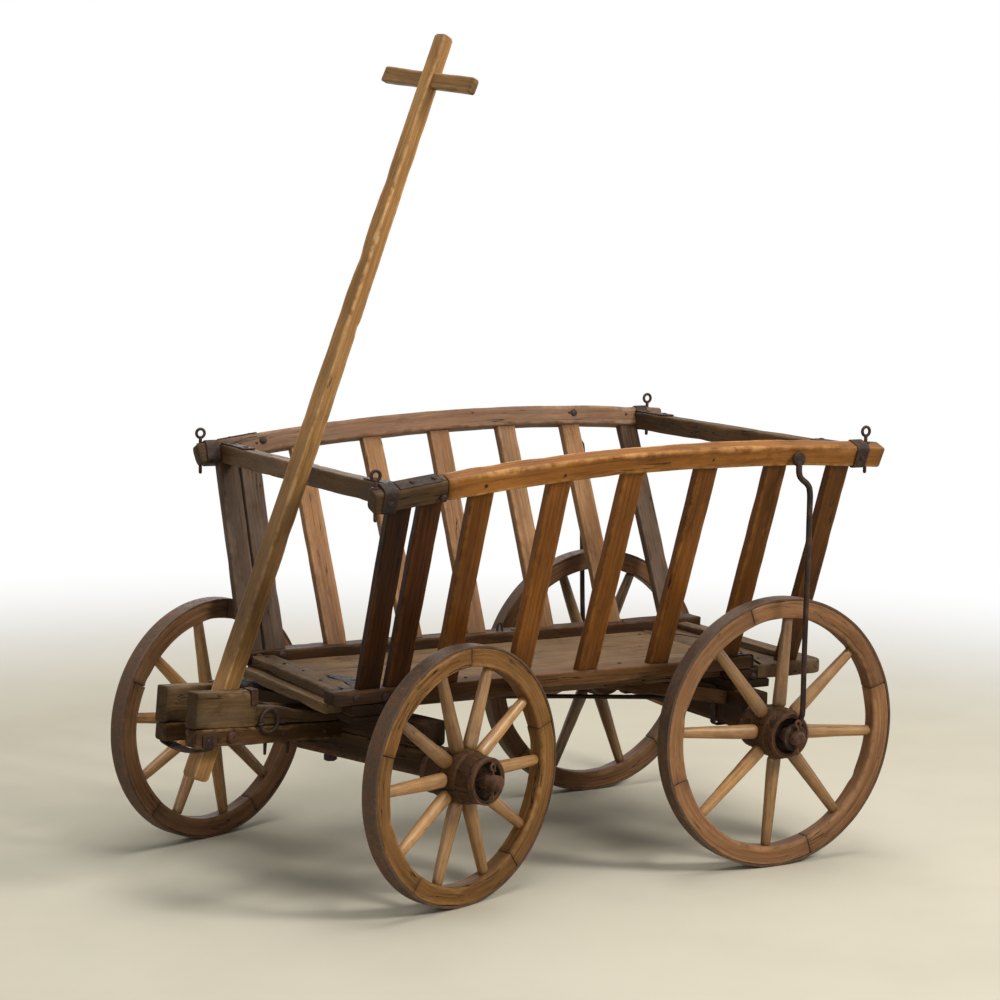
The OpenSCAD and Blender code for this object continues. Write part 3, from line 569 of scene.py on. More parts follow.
class Graph:
    """A material's nodes, made and joined by short calls."""

    def __init__(self, owner: bpy.types.Material | bpy.types.World) -> None:
        """Empties the nodes of a material or a world."""
        owner.use_nodes = True
        self.owner, self.tree = owner, owner.node_tree
        self.tree.nodes.clear()

    def node(self, kind: str, inputs: dict[str | int, object] | None = None, **settings: object) -> bpy.types.Node:
        """Makes a node; an input that is a socket is joined, and any other is set."""
        made = self.tree.nodes.new("ShaderNode" + kind)
        for key, value in settings.items():
            setattr(made, key, value)
        for key, value in (inputs or {}).items():
            if isinstance(value, Socket):
                self.tree.links.new(value, made.inputs[key])
            else:
                made.inputs[key].default_value = value
        return made

    def math(self, operation: str, a: object, b: object = 0.0, clamp: bool = False) -> Socket:
        """The result of a sum on two values or sockets."""
        return self.node("Math", {0: a, 1: b}, operation=operation, use_clamp=clamp).outputs[0]

    def times(self, a: object, b: object) -> Socket:
        """The product of two values or sockets."""
        return self.math("MULTIPLY", a, b)

    def mix(self, share: object, a: object, b: object, blend: str = "MIX") -> Socket:
        """Two colours mixed by a share."""
        settings = {"data_type": "RGBA", "blend_type": blend, "clamp_factor": True}
        return self.node("Mix", {0: share, 6: a, 7: b}, **settings).outputs[2]

    def noise(
        self, vector: Socket, scale: float, detail: float = 3.0, rough: float = 0.6, warp: float = 0.0
    ) -> Socket:
        """Noise from 0 to 1 at a scale, counted in waves a metre."""
        inputs = {"Vector": vector, "Scale": scale, "Detail": detail, "Roughness": rough, "Distortion": warp}
        return self.node("TexNoise", inputs).outputs[0]

    def stretched(self, vector: Socket, along: float, across: float) -> Socket:
        """A vector scaled by one number along the grain and another across it."""
        return self.node("Mapping", {"Vector": vector, "Scale": (along, across, across)}).outputs[0]

    def drawn(
        self, vector: Socket, along: float, across: float, detail: float, rough: float = 0.6, warp: float = 0.0
    ) -> Socket:
        """Noise drawn out along the grain, in waves a metre along and across it."""
        return self.noise(self.stretched(vector, along, across), 1.0, detail, rough, warp)

    def remap(
        self, value: Socket, low: float, high: float, to_low: float = 0.0, to_high: float = 1.0
    ) -> Socket:
        """A value carried smoothly from one range to another, and held at its ends."""
        inputs = {"Value": value, "From Min": low, "From Max": high, "To Min": to_low, "To Max": to_high}
        return self.node("MapRange", inputs, interpolation_type="SMOOTHSTEP").outputs[0]

    def ramp(self, share: Socket, stops: Sequence[tuple[float, Colour]]) -> Socket:
        """Colours laid out along a share."""
        made = self.node("ValToRGB", {"Fac": share})
        band = made.color_ramp
        while len(band.elements) < len(stops):
            band.elements.new(0.5)
        for element, (place, colour) in zip(band.elements, stops):
            element.position, element.color = place, colour
        return made.outputs[0]

    def marks(self) -> tuple[Socket, Socket, Socket]:
        """Tone, edge, and dirtiness with painted shade, of the surface."""
        colour = self.node("Attribute", attribute_name="marks").outputs["Color"]
        parts = self.node("SeparateColor", {"Color": colour}).outputs
        return parts[0], parts[1], parts[2]

    def grain(self) -> Socket:
        """Where the surface lies in its own timber."""
        return self.node("Attribute", attribute_name="grain").outputs["Vector"]

    def toned(self, colour: Socket, tone: Socket) -> Socket:
        """A colour made darker or lighter by the tone."""
        lit = self.math("ADD", self.times(tone, 1.4), 0.3)
        shade = self.node("CombineColor", {"Red": lit, "Green": lit, "Blue": lit}).outputs[0]
        return self.mix(1.0, colour, shade, "MULTIPLY")

    def finish(
        self, colour: Socket, rough: Socket, height: Socket, relief: float,
        metal: Socket | float = 0.0, specular: float = 0.4,
    ) -> bpy.types.Material:
        """Joins colour, roughness and relief to the shader, and gives the material."""
        bump = self.node("Bump", {"Height": height, "Distance": relief * MM, "Strength": 1.0}).outputs[0]
        inputs = {
            "Base Color": colour, "Roughness": rough, "Metallic": metal, "Normal": bump,
            "Specular IOR Level": specular
        }
        self.node("OutputMaterial", {"Surface": self.node("BsdfPrincipled", inputs).outputs[0]})
        return self.owner


WEATHERED: Screen = (150, 138, 120)
# Dark brown that stains, soiling and painted shade in hollows and at timber ends are mixed towards.
SOOT_AND_SHADE: Screen = (34, 24, 17)
CRACK: Screen = (20, 13, 9)
DUST: Screen = (96, 82, 66)


@dataclass(frozen=True)
class WoodFinish:
    """Old wood: grain, growth rings, cracks, worn edges, and dark soiling that also paints shade into hollows and at
    timber ends.

    Args:
        name: The material's name.
        slot: The record's slot it belongs to; not used.
        light: Colour of the palest grain, in screen values.
        middle: Its main colour.
        dark: Colour of its dark streaks.
        edge: Colour where its edges are rubbed.
        rubbed: How strongly the edges show.
        grey: How far it has weathered to grey.
        cracked: How many cracks it has.
        rough: Roughness at its smoothest and dullest.
        relief: Depth of its grain in millimetres.
        gloss: How much it shines.
    """

    name: str
    slot: str
    light: Screen
    middle: Screen
    dark: Screen
    edge: Screen
    rubbed: float = 0.5
    grey: float = 0.1
    cracked: float = 0.5
    rough: tuple[float, float] = (0.45, 0.75)
    relief: float = 0.6
    gloss: float = 0.12

    def material(self) -> bpy.types.Material:
        """Builds the finish.

        Formula: fine streaks, rings about a pith beside the timber, and broad blotches make up
        the grain; thin bands round the middle value of a long noise make the cracks.

        Returns:
            The material.
        """
        g = Graph(bpy.data.materials.new(self.name))
        where = g.grain()
        tone, edge, grime = g.marks()
        dark, middle, light = srgb(*self.dark), srgb(*self.middle), srgb(*self.light)
        broad = g.drawn(where, 3.0, 16.0, 4.0)
        streaks = g.drawn(where, 8.0, 230.0, 5.0, 0.68)
        fibre = g.drawn(where, 40.0, 900.0, 2.0)
        swirl = g.node("TexNoise", {"Vector": g.stretched(where, 2.0, 9.0), "Scale": 1.0}).outputs[1]
        swirl = g.node("VectorMath", {0: swirl, 1: (0.0, 0.022, 0.022)}, operation="MULTIPLY").outputs[0]
        bent = g.node("VectorMath", {0: where, 1: swirl}, operation="ADD").outputs[0]
        wave = {"Vector": bent, "Scale": 50.0, "Distortion": 1.2, "Detail": 2.0, "Detail Scale": 1.5}
        rings = g.node("TexWave", wave, wave_type="RINGS", rings_direction="X", wave_profile="SAW").outputs[1]
        mixed = g.math("ADD", g.times(streaks, 0.46), g.times(broad, 0.46))
        mixed = g.math("ADD", mixed, g.times(rings, 0.08))
        colour = g.ramp(mixed, [(0.26, dark), (0.46, middle), (0.7, light)])
        colour = g.mix(g.remap(fibre, 0.42, 0.72, 0.0, 0.28), colour, dark)
        patch = g.drawn(where, 5.0, 22.0, 5.0, 0.7)
        colour = g.mix(g.times(g.remap(patch, 0.4, 0.75), self.grey), colour, srgb(*WEATHERED))
        line = g.math("ABSOLUTE", g.math("SUBTRACT", g.drawn(where, 4.0, 62.0, 3.0, 0.55), 0.5))
        low, high = (bound - 0.22 * self.cracked for bound in (0.62, 0.74))
        torn = g.times(g.remap(line, 0.0, 0.011, 1.0, 0.0), g.remap(g.drawn(where, 6.0, 20.0, 2.0), low, high))
        rub = g.times(g.times(edge, self.rubbed), g.remap(g.noise(where, 55.0), 0.32, 0.62))
        colour = g.mix(rub, colour, srgb(*self.edge))
        stains = g.remap(g.drawn(where, 9.0, 26.0, 6.0, 0.72, 0.6), 0.5, 0.78, 0.0, 0.55)
        # The third mark and the stains mix towards that dark brown: soiling, with painted shade in hub hollows and at
        # timber ends.
        soot_and_shade = g.math("MULTIPLY", g.math("ADD", grime, stains), 0.85, True)
        colour = g.mix(soot_and_shade, colour, srgb(*SOOT_AND_SHADE))
        colour = g.toned(g.mix(torn, colour, srgb(*CRACK)), tone)
        rough = g.math("ADD", g.remap(streaks, 0.3, 0.7, *self.rough), g.times(soot_and_shade, 0.15), True)
        height = g.math("ADD", g.times(streaks, 0.55), g.times(fibre, 0.18))
        height = g.math("SUBTRACT", g.math("ADD", height, g.times(rings, 0.12)), g.times(torn, 1.6))
        return g.finish(colour, rough, height, self.relief, 0.0, self.gloss)


@dataclass(frozen=True)
class IronFinish:
    """Old forged iron: dark scale, rust and dust.

    Args:
        name: The material's name.
        slot: The record's slot it belongs to; not used.
        dark: Colour of the sound scale, in screen values.
        rust: Colour of the rust.
        bright: Colour of fresh rust and rubbed edges.
        rusted: How much of it is rust.
        relief: Depth of its pitting in millimetres.
    """

    name: str
    slot: str
    dark: Screen
    rust: Screen
    bright: Screen
    rusted: float = 0.5
    relief: float = 0.5

    def material(self) -> bpy.types.Material:
        """Builds the finish: blotches of rust over dark scale, finely pitted."""
        g = Graph(bpy.data.materials.new(self.name))
        where = g.grain()
        tone, edge, grime = g.marks()
        bright = srgb(*self.bright)
        blotch = g.noise(where, 45.0, 6.0, 0.7, 0.4)
        pits = g.noise(where, 420.0)
        specks = g.noise(where, 160.0, 4.0, 0.75)
        rusty = g.remap(blotch, 0.62 - 0.3 * self.rusted, 0.78 - 0.3 * self.rusted)
        colour = g.mix(rusty, srgb(*self.dark), srgb(*self.rust))
        colour = g.mix(g.times(g.remap(specks, 0.52, 0.7), 0.6), colour, bright)
        colour = g.mix(g.times(edge, 0.3), colour, bright)
        colour = g.toned(g.mix(g.times(grime, 0.35), colour, srgb(*DUST)), tone)
        height = g.math("ADD", g.times(pits, 0.35), g.times(blotch, 0.65))
        metal, rough = g.remap(rusty, 0.0, 1.0, 0.55, 0.05), g.remap(specks, 0.3, 0.7, 0.5, 0.8)
        return g.finish(colour, rough, height, self.relief, metal, 0.2)


AMBER = WoodFinish(
    "amber_wood", "side_wood", (162, 102, 42), (117, 69, 22), (60, 32, 9), (200, 138, 66), 0.45, 0.04, 0.35,
    (0.34, 0.6), 0.45
)
DARK_STAKE = WoodFinish(
    "dark_stake_wood", "side_wood", (112, 62, 20), (68, 34, 8), (30, 14, 3), (150, 96, 46), 0.35, 0.03, 0.4,
    (0.4, 0.65), 0.5
)
# A lighter copy of the stake wood for the far side: painted light on those stakes.
LIT_TAN_STAKE = WoodFinish(
    "tan_stake_wood", "side_wood", (178, 134, 90), (136, 96, 62), (76, 48, 29), (206, 164, 118), 0.4, 0.15, 0.4,
    (0.4, 0.7), 0.5
)
GREY_STAKE = WoodFinish(
    "grey_stake_wood", "side_wood", (128, 100, 78), (90, 68, 52), (48, 34, 26), (146, 120, 96), 0.4, 0.3, 0.6,
    (0.5, 0.75), 0.6
)
NEAR_RAIL = WoodFinish(
    "near_rail_wood", "side_wood", (184, 122, 56), (142, 88, 34), (80, 44, 14), (216, 164, 98), 0.7, 0.05, 0.5,
    (0.32, 0.55), 0.45
)
# Paler and greyer than the near rail: partly weathered grey, partly painted top light.
FAR_RAIL = WoodFinish(
    "far_rail_wood", "side_wood", (160, 122, 94), (120, 86, 62), (66, 44, 30), (184, 150, 120), 0.5, 0.25, 0.5,
    (0.42, 0.68), 0.5
)
CROSS_RAIL = WoodFinish(
    "cross_rail_wood", "side_wood", (146, 112, 72), (108, 78, 46), (56, 38, 22), (160, 128, 90), 0.5, 0.06, 0.6,
    (0.5, 0.75), 0.6
)
FRONT_RAIL = WoodFinish(
    "front_rail_wood", "grey_wood", (136, 104, 66), (98, 70, 42), (48, 33, 20), (152, 120, 84), 0.5, 0.15, 0.6,
    (0.42, 0.66), 0.6
)
FLOOR = WoodFinish(
    "floor_wood", "floor_wood", (178, 144, 106), (136, 104, 72), (82, 60, 40), (170, 138, 102), 0.3, 0.3, 0.8,
    (0.6, 0.85), 0.9
)
GREY = WoodFinish(
    "weathered_wood", "grey_wood", (150, 120, 86), (108, 82, 56), (56, 42, 29), (162, 134, 100), 0.6, 0.25, 0.9,
    (0.55, 0.8), 0.9
)
CHEEK = WoodFinish(
    "cheek_wood", "grey_wood", (126, 98, 64), (92, 68, 41), (48, 34, 21), (144, 118, 86), 0.5, 0.15, 0.9, (0.5, 0.75),
    0.8
)
FRAME = WoodFinish(
    "frame_wood", "frame_wood", (120, 82, 45), (80, 51, 26), (36, 22, 11), (142, 104, 64), 0.45, 0.1, 0.7,
    (0.48, 0.72), 0.8
)
# Its dark colours are partly the wood's own and partly painted shade under the cart.
FORK = WoodFinish(
    "fork_wood", "fork_wood", (126, 90, 52), (80, 52, 27), (34, 20, 10), (168, 130, 86), 0.75, 0.1, 0.7, (0.45, 0.7),
    0.7
)
POLE = WoodFinish(
    "pole_wood", "pole_wood", (192, 148, 92), (148, 106, 58), (84, 54, 26), (210, 170, 118), 0.7, 0.03, 0.35,
    (0.3, 0.52), 0.4, 0.2
)
HUB = WoodFinish(
    "hub_wood", "hub_wood", (112, 78, 46), (74, 48, 27), (28, 17, 10), (128, 94, 60), 0.35, 0.05, 1.0, (0.45, 0.7),
    0.8
)
SPOKE = WoodFinish(
    "spoke_wood", "spoke_wood", (204, 158, 98), (156, 110, 62), (84, 54, 28), (222, 184, 130), 0.5, 0.0, 0.3,
    (0.2, 0.42), 0.4, 0.5
)
OCHRE_FELLOE = WoodFinish(
    "ochre_felloe_wood", "felloe_wood", (156, 112, 62), (112, 76, 38), (54, 34, 16), (180, 138, 86), 0.5, 0.04, 0.6,
    (0.4, 0.62), 0.6
)
RED_FELLOE = WoodFinish(
    "red_felloe_wood", "felloe_wood", (168, 124, 86), (122, 84, 54), (58, 38, 24), (182, 142, 104), 0.45, 0.1, 0.5,
    (0.42, 0.66), 0.6
)
IRON = IronFinish("forged_iron", "forged_iron", (44, 38, 37), (70, 47, 36), (108, 74, 52), 0.45)
RUST = IronFinish("rusty_iron", "forged_iron", (58, 42, 34), (86, 56, 40), (128, 88, 60), 0.8)
TYRE = IronFinish("tyre_iron", "tyre_iron", (84, 68, 56), (96, 68, 50), (134, 106, 82), 0.6, 0.6)


@cache
def dressed(finish: WoodFinish | IronFinish) -> bpy.types.Material:
    """The finish's material, made once."""
    return finish.material()


# ------------------------------------------------------------------ layout


@dataclass(frozen=True, eq=False)
class Axes:
    """A part's own axes in the frame, for sizes given in millimetres.

    Args:
        origin: Where they start, in metres.
        basis: Their three directions, by row.
    """

    origin: Array
    basis: Array

    def at(self, *points: Sequence[float]) -> Array:
        """Points of the part, in the frame: the origin plus each size along its own direction."""
        return self.origin + np.asarray(points, float) * MM @ self.basis

    def point(self, x: float, y: float, z: float) -> Array:
        """One point of the part, in the frame."""
        return self.at((x, y, z))[0]

    def across(self, x: float, half: float, z: float) -> Array:
        """A line straight across the part, from one side to the other."""
        return self.at((x, -half, z), (x, half, z))

    def way(self, x: float, y: float, z: float) -> Array:
        """A direction of the part, in the frame."""
        return np.array([x, y, z], float) @ self.basis

    def moved(self, place: Sequence[float], basis: Array) -> "Axes":
        """Axes that start at a place of these and are turned by a basis."""
        return Axes(self.point(*place), basis @ self.basis)


def turned_about(axis: int, degrees: float) -> Array:
    """Rows of the three directions after a turn about one of them.

    Formula: the two directions beside the axis are mixed by the angle's cosine and sine.
    """
    basis = np.eye(3)
    c, s = math.cos(math.radians(degrees)), math.sin(math.radians(degrees))
    i, j = (axis + 1) % 3, (axis + 2) % 3
    basis[i, i], basis[i, j], basis[j, i], basis[j, j] = c, s, -s, c
    return basis


JOINTS = {joint["name"]: joint for joint in frame["joints"]}
KINGPIN = np.array([JOINTS["steering"]["pos_m"][0], 0, 0])
STEER = math.degrees(math.atan2(-JOINTS["front_right_axle"]["axis"][0], JOINTS["front_right_axle"]["axis"][1]))
CART = Axes(KINGPIN, np.eye(3))
AXLE = Axes(KINGPIN, turned_about(2, STEER))


def loop(
    axes: Axes, centre: Sequence[float], first: Sequence[float], second: Sequence[float], radius: float
) -> Array:
    """A closed rectangle with rounded corners.

    Args:
        axes: The axes that the sizes are in.
        centre: Its middle.
        first: From the middle to one side.
        second: From the middle to the next side.
        radius: Radius of the corners.

    Returns:
        Its points, in the frame.
    """
    sizes = [2 * float(np.linalg.norm(v)) for v in (first, second)]
    flat = rounded_section(np.array(sizes[:1]), np.array(sizes[1:]), np.full((1, 4), radius))[0][0]
    middle, u, v = np.asarray(centre, float), unit(np.asarray(first, float)), unit(np.asarray(second, float))
    return axes.at(*(middle + flat[:, :1] * u + flat[:, 1:] * v))


def seeded(name: str) -> np.random.Generator:
    """A source of random numbers that a name always starts the same way."""
    return np.random.default_rng([ord(letter) for letter in name])


# ------------------------------------------------------------------ sub-assemblies


@dataclass
class Bed:
    """The floor, its sills and the bolsters under it. Sizes are millimetres.

    Args:
        front: Front end of the floor boards.
        rear: Rear end of the floor boards.
        half: Half width of the floor.
        floor: Heights of the floor's lower and upper face.
        sill: Heights of a sill's lower and upper face.
        sill_width: Width of a sill.
        plank_rear: Rear end of the rear plank.
        transom: Heights of the front transom.
        bolster: Heights of the rear bolster.
        boards: How many floor boards there are.
        board_gap: The gap between two of them.
        lip: The gap between the floor and a sill.
    """

    front: float = -28
    rear: float = 700
    half: float = 159.5
    floor: tuple[float, float] = (294, 318)
    sill: tuple[float, float] = (312, 336)
    sill_width: float = 40
    plank_rear: float = 840
    transom: tuple[float, float] = (283.3, 294)
    bolster: tuple[float, float] = (279, 294)
    boards: int = 3
    board_gap: float = 1.2
    lip: float = 0.5

    @property
    def wide(self) -> float:
        """Distance of the sills' outer faces from the middle."""
        return self.half + self.lip + self.sill_width

    def build(self) -> None:
        """Builds every piece of the bed."""
        self.lay_floor()
        self.lay_cross_pieces()
        self.lay_sills()
        self.lay_bolsters()
        self.drive_nails()

    def lay_floor(self) -> None:
        """Builds the lengthwise boards, a little apart."""
        shell, gap = Shell(seeded("floor")), self.board_gap
        width = (2 * self.half - (self.boards - 1) * gap) / self.boards
        middle = sum(self.floor) / 2
        # The low tones paint the shade inside the bed.
        for i, tone in zip(range(self.boards), (0.24, 0.3, 0.28)):
            y = -self.half + width / 2 + i * (width + gap)
            shell.timber(
                CART.at((self.front, y, middle), (self.rear, y, middle)), (0, 1, 0), width,
                self.floor[1] - self.floor[0], tone, Wear(1.6, 3, 8, 1.1), (0.5, 0.2, 0.12, 0.12, 0.15, 0.3)
            )
        shell.build("bed_floor_boards", "body", FLOOR, "floor_boards")

    def lay_cross_pieces(self) -> None:
        """Builds the planks and strips that lie across the cart at its ends."""
        shell, x = Shell(seeded("cross")), (-88 + self.front) / 2
        shell.timber(CART.across(x, self.half, 303), (1, 0, 0), 60, 18, 0.46, Wear(3, 6, 7, 1.2), 0.2, step=7)
        shell.build("bed_front_plank", "body", GREY, "front_cross_plank")
        shell, x = Shell(shell.rng), (-71 + self.front) / 2
        shell.timber(CART.across(x, self.half, 321), (1, 0, 0), 43, 18, 0.4, Wear(3, 6, 7, 1.2), 0.4, step=7)
        shell.timber(CART.across(779, 154, 324), (1, 0, 0), 22, 12, 0.45, Wear(2.5, 5, 6, 0.8), 0.3, step=7)
        shell.build("bed_strips", "body", GREY, "floor_strips")
        shell, corner, wide = Shell(shell.rng), 24, self.wide
        far, near = self.plank_rear, self.rear
        bends = [CART.point(far - corner, side * (wide - corner), 0) for side in (-1, 1)]
        along, across = ALONG, ACROSS
        outline = np.vstack([
            CART.at((near, -wide, 0)),
            arc(bends[0], along, across, corner, -math.pi / 2, 0, 8),
            arc(bends[1], along, across, corner, 0, math.pi / 2, 8),
            CART.at((near, wide, 0)),
        ])[:, :2]
        shell.slab(outline, self.floor[0], self.floor[1], (0, 1, 0), 0.3, 4, 0.3)
        shell.build("bed_rear_plank", "body", GREY, "rear_cross_plank")

    def lay_sills(self) -> None:
        """Builds the two sills that the stakes stand in; the right one is longer."""
        middle, height = sum(self.sill) / 2, self.sill[1] - self.sill[0]
        y = self.half + self.lip + self.sill_width / 2
        for side, rear, tone in (
            (Side.LEFT, 690, (0.2, 0.38, 0.5, 0.56, 0.48, 0.4)), (Side.RIGHT, 828, (0.1, 0.16, 0.24, 0.26, 0.26, 0.2))
        ):
            shell = Shell(seeded("sill" + side.word))
            path = CART.at(*[(x, side * y, middle) for x in (-92, rear)])
            shell.timber(path, (0, 1, 0), self.sill_width, height, tone, Wear(3, 6, 12, 1.5, 0, 5), 0.25, step=8)
            shell.build("bed_sill_" + side.word, "body", FRAME, side.word + "_sill")

    def lay_bolsters(self) -> None:
        """Builds the front transom and the rear bolster, with the blocks at their ends that carry the sills."""
        for name, node, spans, heights in (
            ("bed_front_transom", "front_transom", ((-60, 28), (-60, 28)), self.transom),
            ("bed_rear_bolster", "rear_bolster", ((650, 725), (650, 700)), self.bolster),
        ):
            shell, wide = Shell(seeded(name)), self.wide
            (x0, x1), (b0, b1) = spans
            z, x = sum(heights) / 2, (x0 + x1) / 2
            # Low tones on the transom, bolster and their blocks paint the deep shade under the floor.
            shell.timber(
                CART.across(x, wide, z), (1, 0, 0), x1 - x0, heights[1] - heights[0], 0.12, Wear(2, 4, 6), 0.5
            )
            for side in Side:
                y = [side * (wide - self.sill_width), side * wide]
                x, z = (b0 + b1) / 2, (self.floor[0] + self.sill[0]) / 2
                shell.timber(
                    CART.at((x, y[0], z), (x, y[1], z)), (1, 0, 0), b1 - b0, 18, 0.15, Wear(2, 4, 2), 0.4, step=6
                )
            shell.build(name, "body", FRAME, node)

    def drive_nails(self) -> None:
        """Builds the nails and bolts of the floor, planks and sills, and the staple on the right sill."""
        shell = Shell(seeded("nails"))
        spots = [(x, y, 318) for x in (-14, 676) for y in (-135, -82, -28, 26, 80, 134)]
        spots += [(x, y, 330) for x in (-50,) for y in (-140, -70, 5, 78, 141)]
        spots += [(x, y, 318) for x in (735, 812) for y in (-150, -60, 40, 140)]
        spots += [(x, y, 336) for x in (-70, 150, 440, 668) for y in (-172, 172)]
        for spot in spots:
            place = CART.point(*spot) + np.r_[shell.rng.uniform(-4, 4, 2) * MM, 0]
            shell.stud(place, UP, shell.rng.uniform(2.6, 3.8), 1.3)
        for x, z in ((-52, 325), (-2, 323), (690, 300)):
            shell.stud(CART.point(x, -200, z), (0, -1, 0), 6, 3)
        for x in (-56, -14):
            shell.stud(CART.point(x, 160.5, 326), (0, -1, 0), 6.5, 4)
        strap = curve(
            [(640, -190, 337), (680, -190, 337), (689, -190, 336.6), (691.4, -190, 332), (691.4, -190, 313)], 5
        )
        shell.timber(CART.at(*strap), (0, 1, 0), 15, 2.4, 0.4, Wear(0.8, 1, 3, 0.3), 0.3, step=4)
        for x in (650, 672):
            shell.stud(CART.point(x, -190, 338.2), UP, 3.6, 2)
        staple = curve([(408, 178, 332), (408, 178, 344), (412, 178, 350), (417, 178, 344), (417, 178, 332)], 6)
        shell.rod(CART.at(*staple), 2.2, step=3, sides=10)
        for x in (350, 364):
            shell.rod(CART.at((x, 172, 316), (x, 172, 292)), 3.2, 0.3, sides=10)
        shell.build("bed_nails", "body", IRON)


@dataclass
class Sides:
    """The two ladder sides: stakes, top rails and the rails across their ends. Sizes are millimetres.

    Args:
        tops: Where each stake meets the top rail.
        feet: Where each stands on its sill.
        right_tops: Where the first three of the right side meet its rail.
        right_feet: Where those three stand.
        foot_y: Distance of the feet from the cart's middle.
        foot_z: Their height, at a sill's upper face.
        rail_y: Distance of the top rails.
        rail: First and last point of a top rail, along and up.
        rise: Rise of its arch.
        section: Height and thickness of a top rail.
        flare: Lean of the sides in degrees.
        stake: Width and thickness of a stake.
        bands: Front ends of the iron bands.
        band_width: Their width.
        cross: Place and width of the rails across the two ends.
        stay_x: Where the stays hook over the top rails.
    """

    tops: tuple[float, ...] = (-50, 3, 90, 226, 360, 497, 632, 757)
    feet: tuple[float, ...] = (-28, 20, 108, 241, 367, 505, 644, 770)
    right_tops: tuple[float, ...] = (-46, -6, 90)
    right_feet: tuple[float, ...] = (-60, -18, 96)
    foot_y: float = 186
    foot_z: float = 336.0
    rail_y: float = 332
    rail: tuple[tuple[float, float], tuple[float, float]] = ((-98, 647), (834, 684))
    rise: float = 26
    section: tuple[float, float] = (36, 28)
    flare: float = 22
    stake: tuple[float, float] = (38, 16)
    bands: tuple[float, float] = (-85, 777)
    band_width: float = 24
    cross: tuple[tuple[float, float], ...] = ((-47, 26), (786, 28))
    stay_x: float = 660

    def rail_z(self, x: Array | float) -> Array:
        """Height of a top rail's middle.

        Formula: a circle through both ends whose arch stands the rise above their chord.
        """
        (x0, z0), (x1, z1) = self.rail
        chord = math.hypot(x1 - x0, z1 - z0)
        radius = chord**2 / (8 * self.rise) + self.rise / 2
        tilt = math.atan2(z1 - z0, x1 - x0)
        cx = (x0 + x1) / 2 + (radius - self.rise) * math.sin(tilt)
        cz = (z0 + z1) / 2 - (radius - self.rise) * math.cos(tilt)
        return cz + np.sqrt(radius**2 - (np.asarray(x, float) - cx) ** 2)

    def on_rail(self, side: Side, x: Array | Sizes, lift: float = 0.0) -> Array:
        """Points of a top rail's middle line, in the frame, raised by a lift."""
        x = np.atleast_1d(np.asarray(x, float))
        return CART.at(*np.stack([x, np.full(len(x), side * self.rail_y), self.rail_z(x) + lift], -1))

    def leaning(self, side: Side) -> tuple[Array, Array]:
        """The directions of a top rail's thickness and height on one side."""
        c, s = math.cos(math.radians(self.flare)), math.sin(math.radians(self.flare))
        return np.array([0, side * c, -s]), np.array([0, side * s, c])

    def build(self) -> None:
        """Builds every piece of the sides."""
        for side in Side:
            self.stand_stakes(side)
            self.bend_rail(side)
        self.join_ends()
        self.bind_corners()
        self.hang_stays()
        self.drive_nails()

    def stand_stakes(self, side: Side) -> None:
        """Builds the eight stakes of one side: straight, and closer together at the front."""
        rng = seeded("stakes" + side.word)
        near = side is Side.LEFT
        # On the far side a lighter tan copy of the stake wood and higher tones paint the light that falls on those
        # stakes.
        finishes = [
            DARK_STAKE, DARK_STAKE
        ] + [AMBER] * 6 if near else [GREY_STAKE] * 2 + [LIT_TAN_STAKE] * 5 + [GREY_STAKE]
        tones = (
            0.06, 0.26, 0.34, 0.44, 0.4, 0.34, 0.28, 0.08
        ) if near else (0.26, 0.34, 0.64, 0.52, 0.56, 0.5, 0.5, 0.45)
        shells = {finish: Shell(rng) for finish in finishes}
        tops, feet = (self.tops, self.feet) if near else (
            self.right_tops + self.tops[3:], self.right_feet + self.feet[3:]
        )
        for i, (top, foot, finish, tone) in enumerate(zip(tops, feet, finishes, tones)):
            low = 298 if i == len(self.tops) - 1 else 314
            foot_at = np.array([foot, side * self.foot_y, self.foot_z])
            top_at = np.array([top, side * self.rail_y, self.rail_z(top)])
            way = (top_at - foot_at) / (top_at[2] - foot_at[2])
            path = CART.at(*(foot_at + way * (z - self.foot_z) for z in (low, top_at[2] - 8)))
            narrow = rng.uniform(0.96, 1.0, 4) * self.stake[0]
            shells[finish].timber(
                path, (1, 0, 0), narrow, self.stake[1], tone + rng.uniform(-0.04, 0.04, 6),
                Wear((1.8, 1.6, 2.4, 1.8), 3.5, 3, 0.35, 1), (0.55, 0.1, 0.06, 0.1, 0.2), step=8
            )
        for k, (finish, shell) in enumerate(shells.items()):
            nodes = (side.word + "_stakes",) if k == 0 else ()
            shell.build(f"side_{side.word}_stakes_{k}", "body", finish, *nodes)

    def bend_rail(self, side: Side) -> None:
        """Builds one arched top rail, rounded by use, with its front end weathered darker."""
        rng, near = seeded("rail" + side.word), side is Side.LEFT
        meet = 24 if near else -62
        bright = (0.4, 0.46, 0.5, 0.52, 0.5, 0.46, 0.4, 0.28) if near else (0.3, 0.5, 0.56, 0.58, 0.55, 0.5, 0.42)
        for k, (x0, x1, finish, tone) in enumerate((
            (meet, self.rail[1][0], NEAR_RAIL if near else FAR_RAIL, bright),
            (self.rail[0][0], meet, CHEEK, (0.3, 0.24, 0.34)),
        )):
            shell = Shell(rng)
            path = self.on_rail(side, np.linspace(x0, x1, 60))
            wear = Wear((4, 4, 5, 5), 5, 7 - 4 * k, 0.5, 0, 4)
            shell.timber(
                path, self.leaning(side)[0], self.section[1], self.section[0], tone, wear, 0.12 + 0.2 * k, step=7
            )
            nodes = (side.word + "_top_rail",) if k == 0 else ()
            shell.build(f"side_top_rail_{side.word}_{k}", "body", finish, *nodes)

